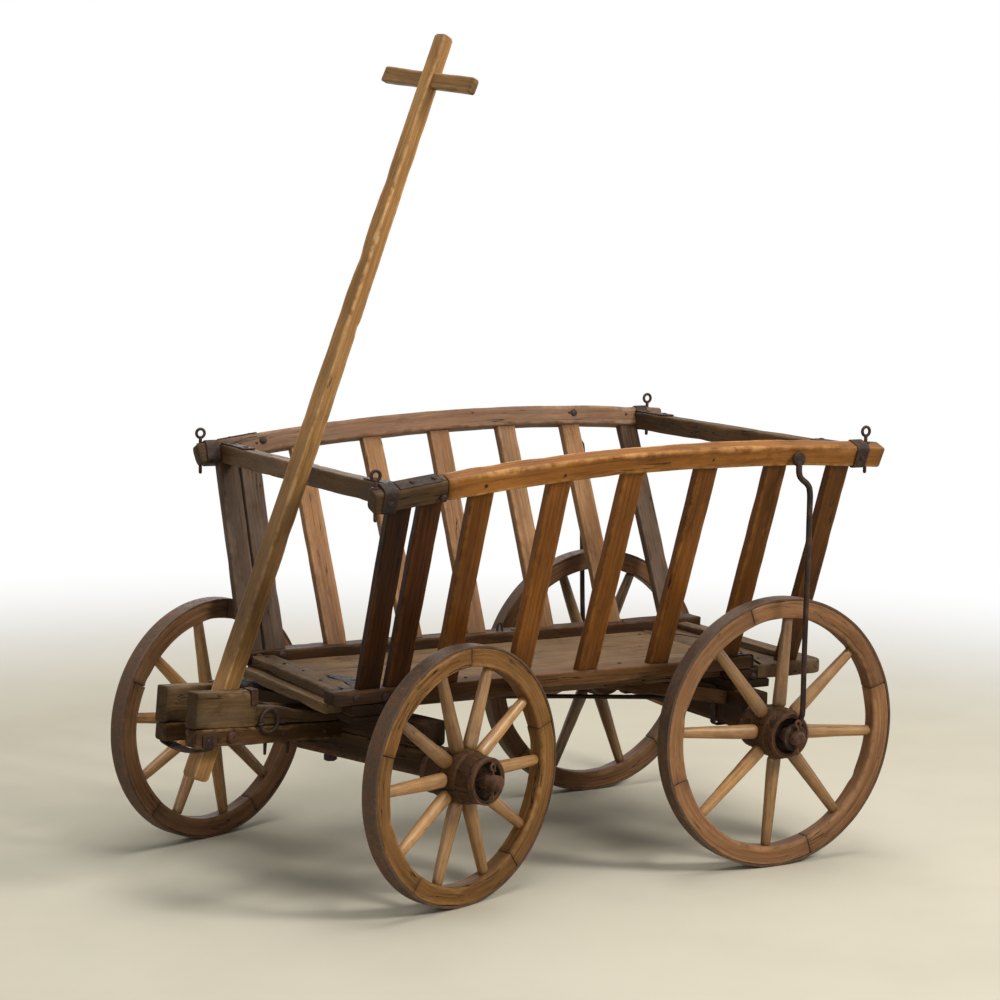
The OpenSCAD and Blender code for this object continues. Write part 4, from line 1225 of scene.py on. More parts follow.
    def join_ends(self) -> None:
        """Builds the two rails across the ends of the sides."""
        for node, (x, width), finish, tones in (
            ("front_cross_rail", self.cross[0], FRONT_RAIL, (0.1, 0.2, 0.36, 0.5, 0.46, 0.26)),
            ("rear_cross_rail", self.cross[1], CROSS_RAIL, (0.14, 0.22, 0.26, 0.24, 0.2, 0.16)),
        ):
            name = "side_" + node
            shell = Shell(seeded(name))
            z = self.rail_z(x) - 4
            half = self.rail_y - self.section[1] / 2 + 3
            shell.timber(CART.across(x, half, z), (1, 0, 0), width, 32, tones, Wear(3, 6, 9, 0.7), 0.2, step=7)
            shell.build(name, "body", finish, node)

    def bind_corners(self) -> None:
        """Builds the bands round the rails' ends, their legs on the cross rails, and the eye pins."""
        shell = Shell(seeded("irons"))
        height, thick = self.section
        for side in Side:
            t, u = self.leaning(side)
            for x0, (cross_x, width) in zip(self.bands, self.cross):
                x = x0 + self.band_width / 2
                centre = (x, side * self.rail_y, self.rail_z(x))
                ring = loop(CART, centre, t * (thick / 2 + 1.4), u * (height / 2 + 1.4), 6)
                shell.timber(ring, (1, 0, 0), self.band_width, 2.8, 0.42, THIN, 0.3, True, 4)
                z = self.rail_z(cross_x) + 13.4
                inner = self.rail_y - thick / 2 + 2
                leg = CART.at(
                    *[(cross_x + bow, side * y, z) for y, bow in ((inner + 6, 0), (inner - 40, 1), (inner - 98, -1))]
                )
                shell.timber(leg, (1, 0, 0), width - 6, 2.8, (0.42, 0.5, 0.42), THIN, 0.3, step=6)
                for y in (inner - 24, inner - 80):
                    shell.stud(CART.point(cross_x, side * y, z + 1.2), UP, 4.5, 2.2)
                out = off(CART.point(*centre), t, thick / 2 + 2.6)
                shell.stud(out, t, 4, 2)
            plate = off(self.on_rail(side, (-60, -24, 12)), u, height / 2 + 0.6)
            shell.timber(plate, t, 25, 2.4, (0.4, 0.5, 0.44), Wear(0.9, 1.4, 5, 0.4), 0.3, step=6)
            for x in (-34, 2):
                shell.stud(off(self.on_rail(side, x)[0], u, height / 2 + 1.8), u, 4.5, 2.4)
        shell.build("side_corner_irons", "body", IRON, "corner_irons")
        shell = Shell(shell.rng)
        for side in Side:
            for x in (self.bands[0] - 6, self.bands[1] + self.band_width + 6):
                z, y = self.rail_z(x), side * self.rail_y
                shell.rod(CART.at((x, y, z - height / 2 - 14), (x, y, z + height / 2 + 12)), 3, sides=12, step=4)
                ring = arc(CART.point(x, y, z + height / 2 + 19), ALONG, UP, 7.4, 0, 2 * math.pi, 29)[:-1]
                shell.rod(ring, 2.6, closed=True, step=1.6, sides=12)
                shell.turned(
                    CART.point(x, y, z + height / 2), UP, [(6.5, -1), (7, 0.6), (6.5, 1.8), (3, 2.4)], sides=16
                )
        shell.build("side_eye_pins", "body", IRON, "eye_pins")

    def hang_stays(self) -> None:
        """Builds the S-bent rods from the top rails down to the rear axle's ends."""
        shell = Shell(seeded("stays"))
        x, lean = self.stay_x, math.radians(self.flare)
        top = self.rail_z(x) - 12
        for side in Side:
            out = side * ACROSS
            face = self.rail_y + self.section[1] / 2 / math.cos(lean) - 12 * math.tan(lean)
            bends = [
                (x, face - 2, top), (x - 1, 347, top + 1), (x - 2, 354, top - 5), (x - 2, 354.5, top - 17),
                (x + 2, 354.5, top - 27), (x + 16, 354, top - 38), (x + 21, 354, top - 50), (x + 22, 354, top - 90),
                (x + 25, 349, 370), (x + 28, 346, 275), (x + 27, 343, 255), (x + 23, 343, 244),
            ]
            path = curve([(a, side * b, c) for a, b, c in bends], 6)
            shell.rod(CART.at(*path), (5.2, 5, 4.6, 4.6, 4.6, 4.8), 0.4, sides=14, step=5)
            eye = CART.point(x, side * 352, top + 3)
            shell.turned(off(eye, out, -4), out, [(11, 0), (12, 1), (12, 4), (11, 5.5), (5, 7)], 0.38, 20)
            hub = CART.point(x + 15, side * 339, 225)
            ring = [(21, 0), (22, 1), (22, 7), (21, 8), (14.4, 8), (13.3, 7), (13.3, 1), (14.4, 0)]
            shell.turned(hub, out, ring, 0.4, 40, True)
        shell.build("side_stays", "body", IRON, "wheel_stays")

    def drive_nails(self) -> None:
        """Builds the nails through the rails into the stakes, and the three bolt heads in the rails."""
        rng = seeded("rail nails")
        shell = Shell(rng)
        for side in Side:
            t = self.leaning(side)[0]
            for x in self.tops[1:]:
                for face in (1, -1):
                    centre = self.on_rail(side, x)[0] + np.array([rng.uniform(-5, 5), 0, rng.uniform(-5, 5)]) * MM
                    shell.stud(off(centre, face * t, self.section[1] / 2 - 1.0), face * t, rng.uniform(2.2, 3.2), 1.4)
        t = self.leaning(Side.LEFT)[0]
        place = off(self.on_rail(Side.LEFT, 16, -9)[0], t, self.section[1] / 2 - 0.8)
        shell.stud(place, t, 6.5, 5)
        t = self.leaning(Side.RIGHT)[0]
        for x in (20, 640):
            place = off(self.on_rail(Side.RIGHT, x, 3)[0], -t, self.section[1] / 2 - 0.8)
            shell.stud(place, -t, 6.5, 3)
        shell.build("side_nails", "body", IRON)


@dataclass
class Axle:
    """A square iron let into a wooden beam, with round stubs at its ends. Sizes are millimetres.

    Args:
        name: The axle's name.
        body: The body it rides on.
        axes: The axes it is in.
        x: Its place along them.
        z: Height of its wheels' middle.
        end: How far its stubs reach from the middle.
        pin: Distance of its linchpins.
        beams: Heights of the timbers stacked on it, with their nodes and tones.
        width: Width of the timbers.
        half: Half their length.
        bar: Side of the square iron.
        stub: Radius of the stubs.
    """

    name: str
    body: str
    axes: Axes
    x: float
    z: float
    end: float
    pin: float
    beams: tuple[tuple[float, float, str, float], ...]
    width: float = 50
    half: float = 232
    bar: float = 26
    stub: float = 13

    def build(self) -> None:
        """Builds the beams, the iron and the linchpins."""
        for low, high, node, tone in self.beams:
            shell, z = Shell(seeded(node)), (low + high) / 2
            path = self.axes.across(self.x, self.half, z)
            shell.timber(path, self.axes.way(1, 0, 0), self.width, high - low, tone, Wear(3, 6, 8, 1), 0.35, step=8)
            wood = FORK if self.name == "front_axle" and node.endswith("beam") else FRAME
            shell.build(self.name + "_" + node.split("_", 1)[1], self.body, wood, node)
        self.forge_iron()
        self.set_pins()

    def forge_iron(self) -> None:
        """Builds the bar and its two stubs, each with a collar behind the hub."""
        shell = Shell(seeded(self.name))
        shell.timber(
            self.axes.across(self.x, self.half, self.z), self.axes.way(1, 0, 0), self.bar, self.bar, 0.4,
            Wear(1.5, 1, 3, 0.4), 0.3
        )
        r = self.stub - 0.2
        reach = self.end - self.half
        profile = [
            (18.8, -2), (18.8, 3.2), (r + 1, 3.4), (r, 4.5), (r, 30), (r, 60), (r, reach - 5.5),
            (r - 1.4, reach - 2.5), (r - 4, reach - 0.6), (r - 9, reach)
        ]
        for side in Side:
            shell.turned(
                self.axes.point(self.x, side * self.half, self.z), self.axes.way(0, side, 0), profile, 0.42, 36,
                rough=0.3
            )
        shell.build(self.name + "_stubs", self.body, RUST, self.name + "_iron")

    def set_pins(self) -> None:
        """Builds the linchpins: a bar bent over into a loop above the stub and turned aside below it."""
        shell = Shell(seeded(self.name + "pins"))
        for side in Side:
            y = side * self.pin
            top = self.z + self.stub
            bends = [
                (1, y, self.z - self.stub - 15), (0.4, y, self.z - self.stub - 4), (0, y, self.z), (0, y, top + 4),
                (-3.5, y, top + 8), (-4.5, y, top + 13), (0, y, top + 16.5), (4.5, y, top + 13), (3.5, y, top + 7),
                (6, y, top + 3)
            ]
            shell.rod(
                self.axes.at(*(np.array([self.x, 0, 0]) + np.array(curve(bends, 6)))), 2.3, 0.45, step=2.5, sides=10
            )
            prong = [
                (-1, y, self.z - self.stub + 2), (-2, y, self.z - self.stub - 6), (-6, y, self.z - self.stub - 11)
            ]
            shell.rod(
                self.axes.at(*(np.array([self.x, 0, 0]) + np.array(curve(prong, 5)))), 1.9, 0.45, step=2.5, sides=10
            )
        shell.build(self.name + "_pins", self.body, RUST, self.name.split("_")[0] + "_linchpins")


@dataclass
class RearFrame:
    """What joins the rear axle to the bed, with the kingpin and the floor plate. Sizes are millimetres.

    Args:
        wheelbase: Place of the rear axle.
        beam_width: Width of its beam.
        clip_y: Distance of the clips round the beam.
        hound_y: Distance of the braces at the beam.
        spread: How far the braces close in towards the front, in degrees.
        slope: How far they rise, in degrees.
        plate: Place of the round floor plate.
        plate_radius: Its radius.
        plate_cut: Distance of its straight side from its middle.
    """

    wheelbase: float = 675
    beam_width: float = 50
    clip_y: float = 146
    hound_y: float = 176
    spread: float = 29
    slope: float = 6.5
    plate: tuple[float, float] = (-48, -52)
    plate_radius: float = 78
    plate_cut: float = 21

    def build(self) -> None:
        """Builds every piece of it."""
        self.clip_beam()
        self.brace_beam()
        self.set_kingpin()
        self.lay_plate()

    def clip_beam(self) -> None:
        """Builds the two clips round the beam."""
        shell = Shell(seeded("clips"))
        x0, x1 = self.wheelbase - self.beam_width / 2 - 1.5, self.wheelbase + self.beam_width / 2 + 1.5
        for side in Side:
            y = side * self.clip_y
            path = CART.at(
                *[(x0, y, 279), (x0, y, 214), (x0 + 4, y, 210.5), (x1 - 4, y, 210.5), (x1, y, 214), (x1, y, 279)]
            )
            shell.timber(path, (0, 1, 0), 14, 3, 0.42, Wear(0.8, 0.5, 1, 0.2, 0, 0.8), 0.3, step=2)
            for x, out in ((x0 - 1.2, -1), (x1 + 1.2, 1)):
                shell.stud(CART.point(x, y, 262), (out, 0, 0), 4.5, 2.5)
        shell.build("rear_clips", "body", IRON, "rear_axle_clips")

    def brace_beam(self) -> None:
        """Builds the two braces and the long tie rod."""
        shell = Shell(seeded("hounds"))
        back = self.wheelbase - self.beam_width / 2
        turn, slope = math.radians(self.spread), math.radians(self.slope)
        for side in Side:
            start = np.array([back, side * self.hound_y, 263.0])
            way = np.array(
                [-math.cos(turn) * math.cos(slope), -side * math.sin(turn) * math.cos(slope), math.sin(slope)]
            )
            shell.timber(
                CART.at(start - way * 3, start + way * 230), (0.5, side, 0), 24, 24, (0.45, 0.5, 0.5), Wear(3, 4, 4),
                0.3, step=8
            )
        shell.build("rear_hounds_wood", "body", FRAME, "rear_hounds")
        shell = Shell(seeded("tie"))
        shell.rod(CART.at((26, 0, 286.5), (230, 1, 266), (440, -1, 249), (652, 0, 229.5)), 4, 0.35, sides=12, step=12)
        shell.build("tie_rod_iron", "body", IRON, "tie_rod")

    def set_kingpin(self) -> None:
        """Builds the kingpin with its nut."""
        shell = Shell(seeded("kingpin"))
        low = CART.point(0, 0, 179.7)
        shell.turned(
            low, UP,
            [(4, 0.2), (6.8, 1), (6.8, 70), (6.8, 134), (11.8, 134.6), (11.8, 136.5), (8, 138.2), (3, 138.3)], 0.4, 28
        )
        shell.turned(low, UP, [(9.5, 0.5), (11, 2), (11, 10), (9.5, 11.8)], 0.4, 6)
        shell.build("kingpin_iron", "body", IRON, "kingpin")

    def lay_plate(self) -> None:
        """Builds the round plate on the floor and its rivets."""
        shell = Shell(seeded("plate"))
        centre, radius = np.array([*self.plate, 0.0]), self.plate_radius
        reach = math.acos(self.plate_cut / radius)
        disc = arc(CART.point(*centre), ALONG, ACROSS, radius, -reach, reach, 40)
        shell.slab(disc[:, :2], 318, 320.8, tone=0.1, edge_radius=0.8, grime=0.4)
        for angle in (-0.9, 0.0, 0.9):
            shell.stud(CART.point(*(centre + [62 * math.cos(angle), 62 * math.sin(angle), 320.6])), UP, 4.5, 1.8)
        shell.build("floor_plate_iron", "body", IRON, "floor_plate")


@dataclass
class Fork:
    """The two arms on the front axle that hold the drawbar between their cheeks. Sizes are millimetres.

    Args:
        front: Front end of the arms.
        rear: Their rear end.
        low: Height of their lower face at the front.
        slope: How much it falls for each millimetre towards the rear.
        height: Height of an arm.
        inner: Distance of an arm from the middle.
        width: Width of an arm.
        cheek_rear: Rear end of the tall part of a cheek.
        cheek_height: Height of that part.
        pivot: Where the drawbar turns, along and up.
    """

    front: float = -330
    rear: float = 60
    low: float = 257
    slope: float = 0.095
    height: float = 29
    inner: float = 21
    width: float = 28
    cheek_rear: float = -205
    cheek_height: float = 57
    pivot: tuple[float, float] = (-258, 264.66)

    def top(self, x: float) -> float:
        """Height of an arm's upper face."""
        return self.low - (x - self.front) * self.slope + self.height

    def build(self) -> None:
        """Builds the arms, cheeks and irons."""
        for side in Side:
            self.set_arm(side)
            self.set_cheek(side)
        self.hang_strap()
        self.pin_drawbar()
        self.fit_ring()

    def set_arm(self, side: Side) -> None:
        """Builds one arm, straight and sloping down to the rear."""
        shell = Shell(seeded("arm" + side.word))
        y = side * (self.inner + self.width / 2)
        path = AXLE.at(*[(x, y, self.top(x) - self.height / 2) for x in (self.front, -250, -120, self.rear)])
        wear = Wear((3, 3, 3, 4), 6, 9, 1.2, 0, 4)
        # Dark tones, falling towards the rear, paint the shade under the cart.
        shell.timber(
            path, AXLE.way(0, 1, 0), self.width, self.height, (0.26, 0.22, 0.16, 0.1, 0.04), wear,
            (0.3, 0.1, 0.15, 0.4), step=6
        )
        shell.build("fork_arm_" + side.word, "front_axle", FORK, side.word + "_fork_arm")

    def set_cheek(self, side: Side) -> None:
        """Builds one cheek: a tall block beside the drawbar and a low tail behind it."""
        shell = Shell(seeded("cheek" + side.word))
        y = side * (self.inner + self.width / 2)
        half = self.cheek_height / 2
        ends = (self.front + 2, self.cheek_rear)
        wear = Wear(2.4, 8, 7, 0.9, 0, 2.5)
        wide = self.width - 1
        shell.timber(
            AXLE.at(*[(x, y, self.top(x) + half) for x in ends]), AXLE.way(0, 1, 0), wide, self.cheek_height,
            (0.44, 0.52, 0.52, 0.46), wear, (0.35, 0.12, 0.1, 0.3), step=5
        )
        heights = np.array([32, 30, 27.5, 20, 18, 15.5, 14.0])
        along = np.linspace(self.cheek_rear - 4, -26, len(heights))
        path = AXLE.at(*[(x, y, self.top(x) + h / 2 + 0.3) for x, h in zip(along, heights)])
        shell.timber(path, AXLE.way(0, 1, 0), wide, heights, (0.3, 0.28, 0.16), Wear(3, 4, 4, 1), 0.35, step=6)
        shell.build("fork_cheek_" + side.word, "front_axle", CHEEK, side.word + "_cheek")

    def hang_strap(self) -> None:
        """Builds the strap that sags under both arms and turns up their outer faces, and its nails."""
        shell = Shell(seeded("strap"))
        half, x = self.inner + self.width + 1.5, -307
        low = self.low - (-296 - self.front) * self.slope
        sag = [(x, y, low - 1.6 - 8 * (1 - (y / half) ** 2)) for y in np.linspace(-half + 3, half - 3, 15)]
        path = [
            (x, -half, low + 22.5), (x, -half, low + 2), (x, -half + 1, low - 0.6)
        ] + sag + [(x, half - 1, low - 0.6), (x, half, low + 2), (x, half, low + 22.5)]
        shell.timber(AXLE.at(*path), AXLE.way(1, 0, 0), 22, 2.8, 0.4, BENT, 0.3, step=3)
        for side in Side:
            shell.stud(AXLE.point(x, side * (half + 1), low + 12), AXLE.way(0, side, 0), 4, 2)
            for spot, radius in ((-283, 3.5), (-150, 4), (-60, 4)):
                shell.stud(
                    AXLE.point(spot, side * (half - 1.8), self.top(spot) - 15), AXLE.way(0, side, 0), radius, 1.6
                )
        shell.build("fork_strap_iron", "front_axle", IRON, "fork_strap")
        shell = Shell(shell.rng)
        for side in Side:
            y = side * (half - 0.6)
            x0 = self.cheek_rear - 7
            path = AXLE.at(
                *[(x0, y, self.top(x0) + z) for z in (34, 46, 57.6)], (x0, side * (self.inner + 8), self.top(x0) + 58)
            )
            shell.timber(path, AXLE.way(1, 0, 0), 13, 2.2, 0.18, Wear(0.7, 0.5, 2, 0.2, 0, 0.8), 0.2, step=3)
        shell.build("fork_cheek_clips", "front_axle", RUST)

    def pin_drawbar(self) -> None:
        """Builds the bolt through the arms that the drawbar turns on: a worn round head and a square nut."""
        shell = Shell(seeded("bolt"))
        half = self.inner + self.width
        x, z = self.pivot
        middle = AXLE.point(x, 0, z)
        across = AXLE.way(0, 1, 0)
        shell.turned(off(middle, -across, half), across, [(5.9, 0), (5.9, 30), (5.9, 68), (5.9, 2 * half)], 0.4, 20)
        shell.turned(
            off(middle, -across, half - 0.5), -across, [(9.6, 0), (9.8, 2), (8.4, 4.6), (4.5, 6)], 0.3, 18, rough=0.8
        )
        shell.turned(off(middle, across, half - 0.5), across, [(9.9, 0), (9.9, 4.4), (8.6, 6)], 0.4, 6)
        shell.build("fork_pivot_bolt", "front_axle", RUST, "fork_bolt")

    def fit_ring(self) -> None:
        """Builds the ring on the left arm with its staple, and the two spikes under that arm."""
        shell = Shell(seeded("ring"))
        x, y = -183, -self.inner - self.width - 3
        z = self.top(x) + 8
        ring = arc(AXLE.point(x, y, z), AXLE.way(1, 0, 0), UP, 18, 0.2, 2 * math.pi + 0.2, 49)[:-1]
        shell.rod(ring, 2.9, 0.55, closed=True, step=2.5, sides=14)
        staple = curve(
            [
                (x - 22, y + 8, z - 3), (x - 22, y - 2.5, z - 3), (x - 16, y - 3.4, z - 2), (x - 12, y - 0.5, z - 2),
                (x - 12, y + 8, z - 2)
            ],
            6
        )
        shell.rod(AXLE.at(*staple), 2, 0.45, step=2, sides=10)
        for spot in (-176, -128):
            low = self.top(spot) - self.height
            shell.rod(AXLE.at((spot, -35, low + 4), (spot - 1, -35, low - 20)), (3.4, 2.6), 0.3, sides=8, step=3)
        shell.build("fork_ring", "front_axle", IRON, "lashing_eye")


@dataclass
class Drawbar:
    """The pole and the crosspiece near its top. Sizes are millimetres.

    Args:
        length: Length of the pole above its pivot.
        heel: Its length below.
        lean: Lean backwards from upright, in degrees.
        cant: Lean to the side, in degrees.
        root: The pole's depth and width at the pivot.
        tip: Its side at the top.
        cross_at: Where the crosspiece stands, as a share of the length.
        cross: The crosspiece's length, height and thickness.
        skew: How far the crosspiece is askew, in degrees.
    """

    length: float = 1170
    heel: float = 76
    lean: float = 21.9
    cant: float = 3
    root: tuple[float, float] = (32, 30)
    tip: float = 23
    cross_at: float = 0.933
    cross: tuple[float, float, float] = (208, 27, 15)
    skew: float = 3.5

    def build(self, fork: Fork) -> None:
        """Builds the pole and the crosspiece, in axes that start at the fork's pivot."""
        leaning = turned_about(0, self.cant) @ turned_about(1, self.lean)
        pole = AXLE.moved((fork.pivot[0], 0, fork.pivot[1]), leaning)
        shell = Shell(seeded("pole"))
        stations = np.array([-self.heel, 0, *np.linspace(90, self.length, 12)])
        share = np.clip(stations / self.length, 0, 1)
        deep = self.root[0] + (self.tip - self.root[0]) * share
        wide = self.root[1] + (self.tip - self.root[1]) * share
        reach = np.linspace(-self.heel, self.length, 40)
        depths, widths = np.interp(reach, stations, deep), np.interp(reach, stations, wide)
        worn = (-self.heel, 0, 36, 62, 92, 128, 220, 360, 520, 700, 900, self.length)
        tone = np.interp(reach, worn, (0.44, 0.3, 0.34, 0.85, 0.7, 0.2, 0.14, 0.28, 0.46, 0.54, 0.6, 0.64))
        wear = Wear(2.6, 5, 9, 0.35, 0, 6)
        shell.timber(
            pole.at(*np.stack([0 * reach, 0 * reach, reach], -1)), pole.way(1, 0, 0), depths, widths, tone, wear,
            (0.1, 0.3, 0.15, 0.1, 0.05, 0.05, 0.05, 0.1), step=8
        )
        shell.build("drawbar_pole_wood", "drawbar", POLE, "drawbar_pole")
        shell = Shell(seeded("crosspiece"))
        grip = pole.moved((0, 0, self.cross_at * self.length), turned_about(0, self.skew))
        half = self.cross[0] / 2
        shell.timber(
            grip.across(0, half, 0), grip.way(0, 0, 1), self.cross[1], self.cross[2], (0.3, 0.36, 0.38, 0.34, 0.36),
            Wear(3.2, 4, 5, 0.8, 0, 4), 0.15, step=5
        )
        shell.build("drawbar_crosspiece_wood", "drawbar", POLE, "drawbar_crosspiece")


@dataclass
class Wheel:
    """A spoked wheel with an iron tyre. Sizes are millimetres.

    Args:
        front: Whether it is a front wheel.
        side: Its side.
        diameter: Its diameter over the tyre.
        spokes: How many spokes it has.
        felloes: How many rim pieces it has.
        turn: How far it stands turned, in degrees.
        out: How far its hub reaches outwards from the rim's middle.
        wood: Finish of its rim.
        tones: Tone of its rim and hub.
        spoke_tones: Tone of each spoke, chosen by its direction to paint the light and shade it catches.
    """

    front: bool
    side: Side
    diameter: float
    spokes: int
    felloes: int
    turn: float
    out: float
    wood: WoodFinish
    tones: tuple[float, float]
    spoke_tones: tuple[float, ...]
    inner: float = 57
    bore: float = 13.3
    end: float = 35
    drum: float = 43
    band: tuple[float, float] = (11, 2.5)
    rim: tuple[float, float] = (30, 30)
    tyre: float = 4
    gap: float = 1.2

    def __post_init__(self) -> None:
        """Finds the wheel's own axes: Z outwards, X along the cart."""
        self.name = ("front_" if self.front else "rear_") + self.side.word
        joint = JOINTS[self.name + "_axle"]
        self.body = joint["child"]
        base = AXLE if self.front else CART
        basis = np.array([base.way(1, 0, 0), base.way(0, 0, -self.side), base.way(0, self.side, 0)])
        self.axes = Axes(np.array(joint["pos_m"]), turned_about(2, self.turn) @ basis)

    def build(self) -> None:
        """Builds the hub, bands, spokes, rim and tyre."""
        self.turn_hub()
        self.set_spokes()
        self.bend_rim()

    def turn_hub(self) -> None:
        """Builds the grooved hub, hollow at its outer end, and the two bands on it."""
        shell = Shell(seeded(self.name + "hub"))
        e, d, b, o, i = self.end, self.drum, self.bore, self.out, -self.inner
        w, t = self.band
        grooves = ((3.4, 23), (3.6, 21.5), (1.2, 20), (0.2, 18), (0.1, 11), (1.2, 10.3), (1.2, 9.3), (0.1, 8.6))
        inner = [
            (e - 1.4, i + 0.3), (e - 0.3, i + 2), (e - 0.2, i + w), (e + t - 0.2, i + w + 0.4),
            (e + t + 1.6, i + w + 8),
        ]
        drum = [(d - deep, -h) for deep, h in grooves] + [(d, 0)] + [(d - deep, h) for deep, h in grooves[::-1]]
        outer = [
            (e + t + 1.0, max(o - w - 5, 24.5)), (e + t - 0.2, o - w - 0.4), (e - 0.2, o - w), (e - 0.6, o - 1.2),
            (e - 2.2, o - 0.4), (31, o - 0.8), (29.5, o - 2.2), (28.5, o - 12), (26, o - 14.5), (b + 1.5, o - 14.5),
            (b, o - 16), (b, 0), (b, i + 1.5), (b + 1.5, i + 0.3),
        ]
        profile = inner + drum + outer
        # The hollow outer end near the axis is painted near black: painted shade in the recess.
        dirt_and_shade = [1.6 if r < 30 and h > o - 20 else 0.2 for r, h in profile]
        shell.turned(self.axes.origin, self.axes.way(0, 0, 1), profile, self.tones[1], 72, True, 0.5, dirt_and_shade)
        shell.build(f"wheel_{self.name}_hub", self.body, HUB, self.name + "_hub")
        shell = Shell(shell.rng)
        for low in (i, o - w):
            ring = [
                (e + t - 0.5, low + 0.1), (e + t, low + 0.8), (e + t, low + w - 0.8), (e + t - 0.5, low + w - 0.1),
                (e - 0.6, low + w - 0.1), (e - 0.6, low + 0.1)
            ]
            shell.turned(self.axes.origin, self.axes.way(0, 0, 1), ring, 0.42, 64, True, 0.3)
            for angle in (0.4, 2.5, 4.6):
                out = self.outwards(angle)
                shell.stud(off(self.axes.point(0, 0, low + w / 2), out, e + t - 0.6), out, 2.6, 1.2, 8)
        shell.build(f"wheel_{self.name}_bands", self.body, RUST, self.name + "_hub_bands")

    def outwards(self, angle: float) -> Array:
        """A direction in the wheel's plane, at an angle in radians."""
        return math.cos(angle) * self.axes.basis[0] + math.sin(angle) * self.axes.basis[1]

    def spoke_way(self, index: float) -> Array:
        """Direction of a spoke from the hub: its share of a full turn, in the wheel's plane."""
        return self.outwards(2 * math.pi * (index + 0.5) / self.spokes)

    def set_spokes(self) -> None:
        """Builds the spokes: thick at the hub, slimmer towards the rim, a little flat."""
        rng = seeded(self.name + "spokes")
        shell = Shell(rng)
        start, stop = self.drum - 4, self.diameter / 2 - self.tyre - self.rim[1] + 4
        for k in range(self.spokes):
            way = self.spoke_way(k)
            path = self.axes.origin + np.linspace(start, stop, 12)[:, None] * MM * way
            # A spoke's tone paints the light or shade that falls on it at its angle, and is darker at both ends.
            tone = self.spoke_tones[k] + np.array([-0.12, 0.0, 0.03, 0.03, -0.08])
            thick = np.array([12.4, 12.3, 11.6, 10.8, 10.2, 9.6, 8.8])
            shell.rod(path, thick, tone, rng.uniform(0.8, 0.86), step=7, sides=16, rough=0.05)
        shell.build(f"wheel_{self.name}_spokes", self.body, SPOKE, self.name + "_spokes")

    def bend_rim(self) -> None:
        """Builds the rim pieces, open by a hair at their joints, and the tyre round them."""
        rng = seeded(self.name + "rim")
        shell = Shell(rng)
        outer = self.diameter / 2 - self.tyre
        middle, across = outer - self.rim[1] / 2, self.axes.way(0, 0, 1)
        first, second = self.axes.basis[:2]
        slit = self.gap / 2 / middle
        for k in range(self.felloes):
            a, b = (2 * math.pi * (k + j) / self.felloes + s * slit for j, s in ((0, 1), (1, -1)))
            path = arc(self.axes.origin, first, second, middle, a, b, 60)
            wear = Wear((1.4, 1.4, 4, 4), 5, 3, 0.4, 0, 1.2)
            shell.timber(
                path, across, self.rim[0] - 1, self.rim[1] - 0.2, self.tones[0] + rng.uniform(-0.05, 0.05, 5), wear,
                rng.uniform(0.05, 0.3, 4), step=6
            )
        shell.build(f"wheel_{self.name}_rim", self.body, self.wood, self.name + "_felloes")
        shell = Shell(shell.rng)
        ring = arc(self.axes.origin, first, second, (outer + self.tyre / 2), 0, 2 * math.pi, 181)[:-1]
        shell.timber(
            ring, across, self.rim[0], self.tyre, 0.48, Wear((0.8, 0.8, 0.4, 0.4), 0.6, 8, 0.15), 0.2, True, 7
        )
        for k in range(self.felloes):
            for j in (0.08, 0.92):
                angle = 2 * math.pi * (k + j) / self.felloes
                out = self.outwards(angle)
                shell.stud(off(self.axes.origin, out, outer + self.tyre - 1.3), out, 4, 1, 10)
        shell.build(f"wheel_{self.name}_tyre", self.body, TYRE, self.name + "_tyre")


# ------------------------------------------------------------------ studio

WHITE: Colour = (1.0, 1.0, 1.0, 1.0)


@dataclass
class Lamp:
    """A soft square lamp that looks at a point. Places and its side are metres."""

    name: str
    place: tuple[float, float, float]
    side: float
    power: float
    colour: tuple[float, float, float] = (1.0, 1.0, 1.0)
    target: tuple[float, float, float] = (0.0, 0.0, 0.35)

    def build(self) -> None:
        """Hangs the lamp and turns its face to the target."""
        light = bpy.data.lights.new(self.name, "AREA")
        light.shape, light.size, light.energy, light.color = "SQUARE", self.side, self.power, self.colour
        back = unit(np.array(self.place) - np.array(self.target))
        right = unit(np.cross(UP, back))
        placed(self.name, light, right, np.cross(back, right), back, np.array(self.place))


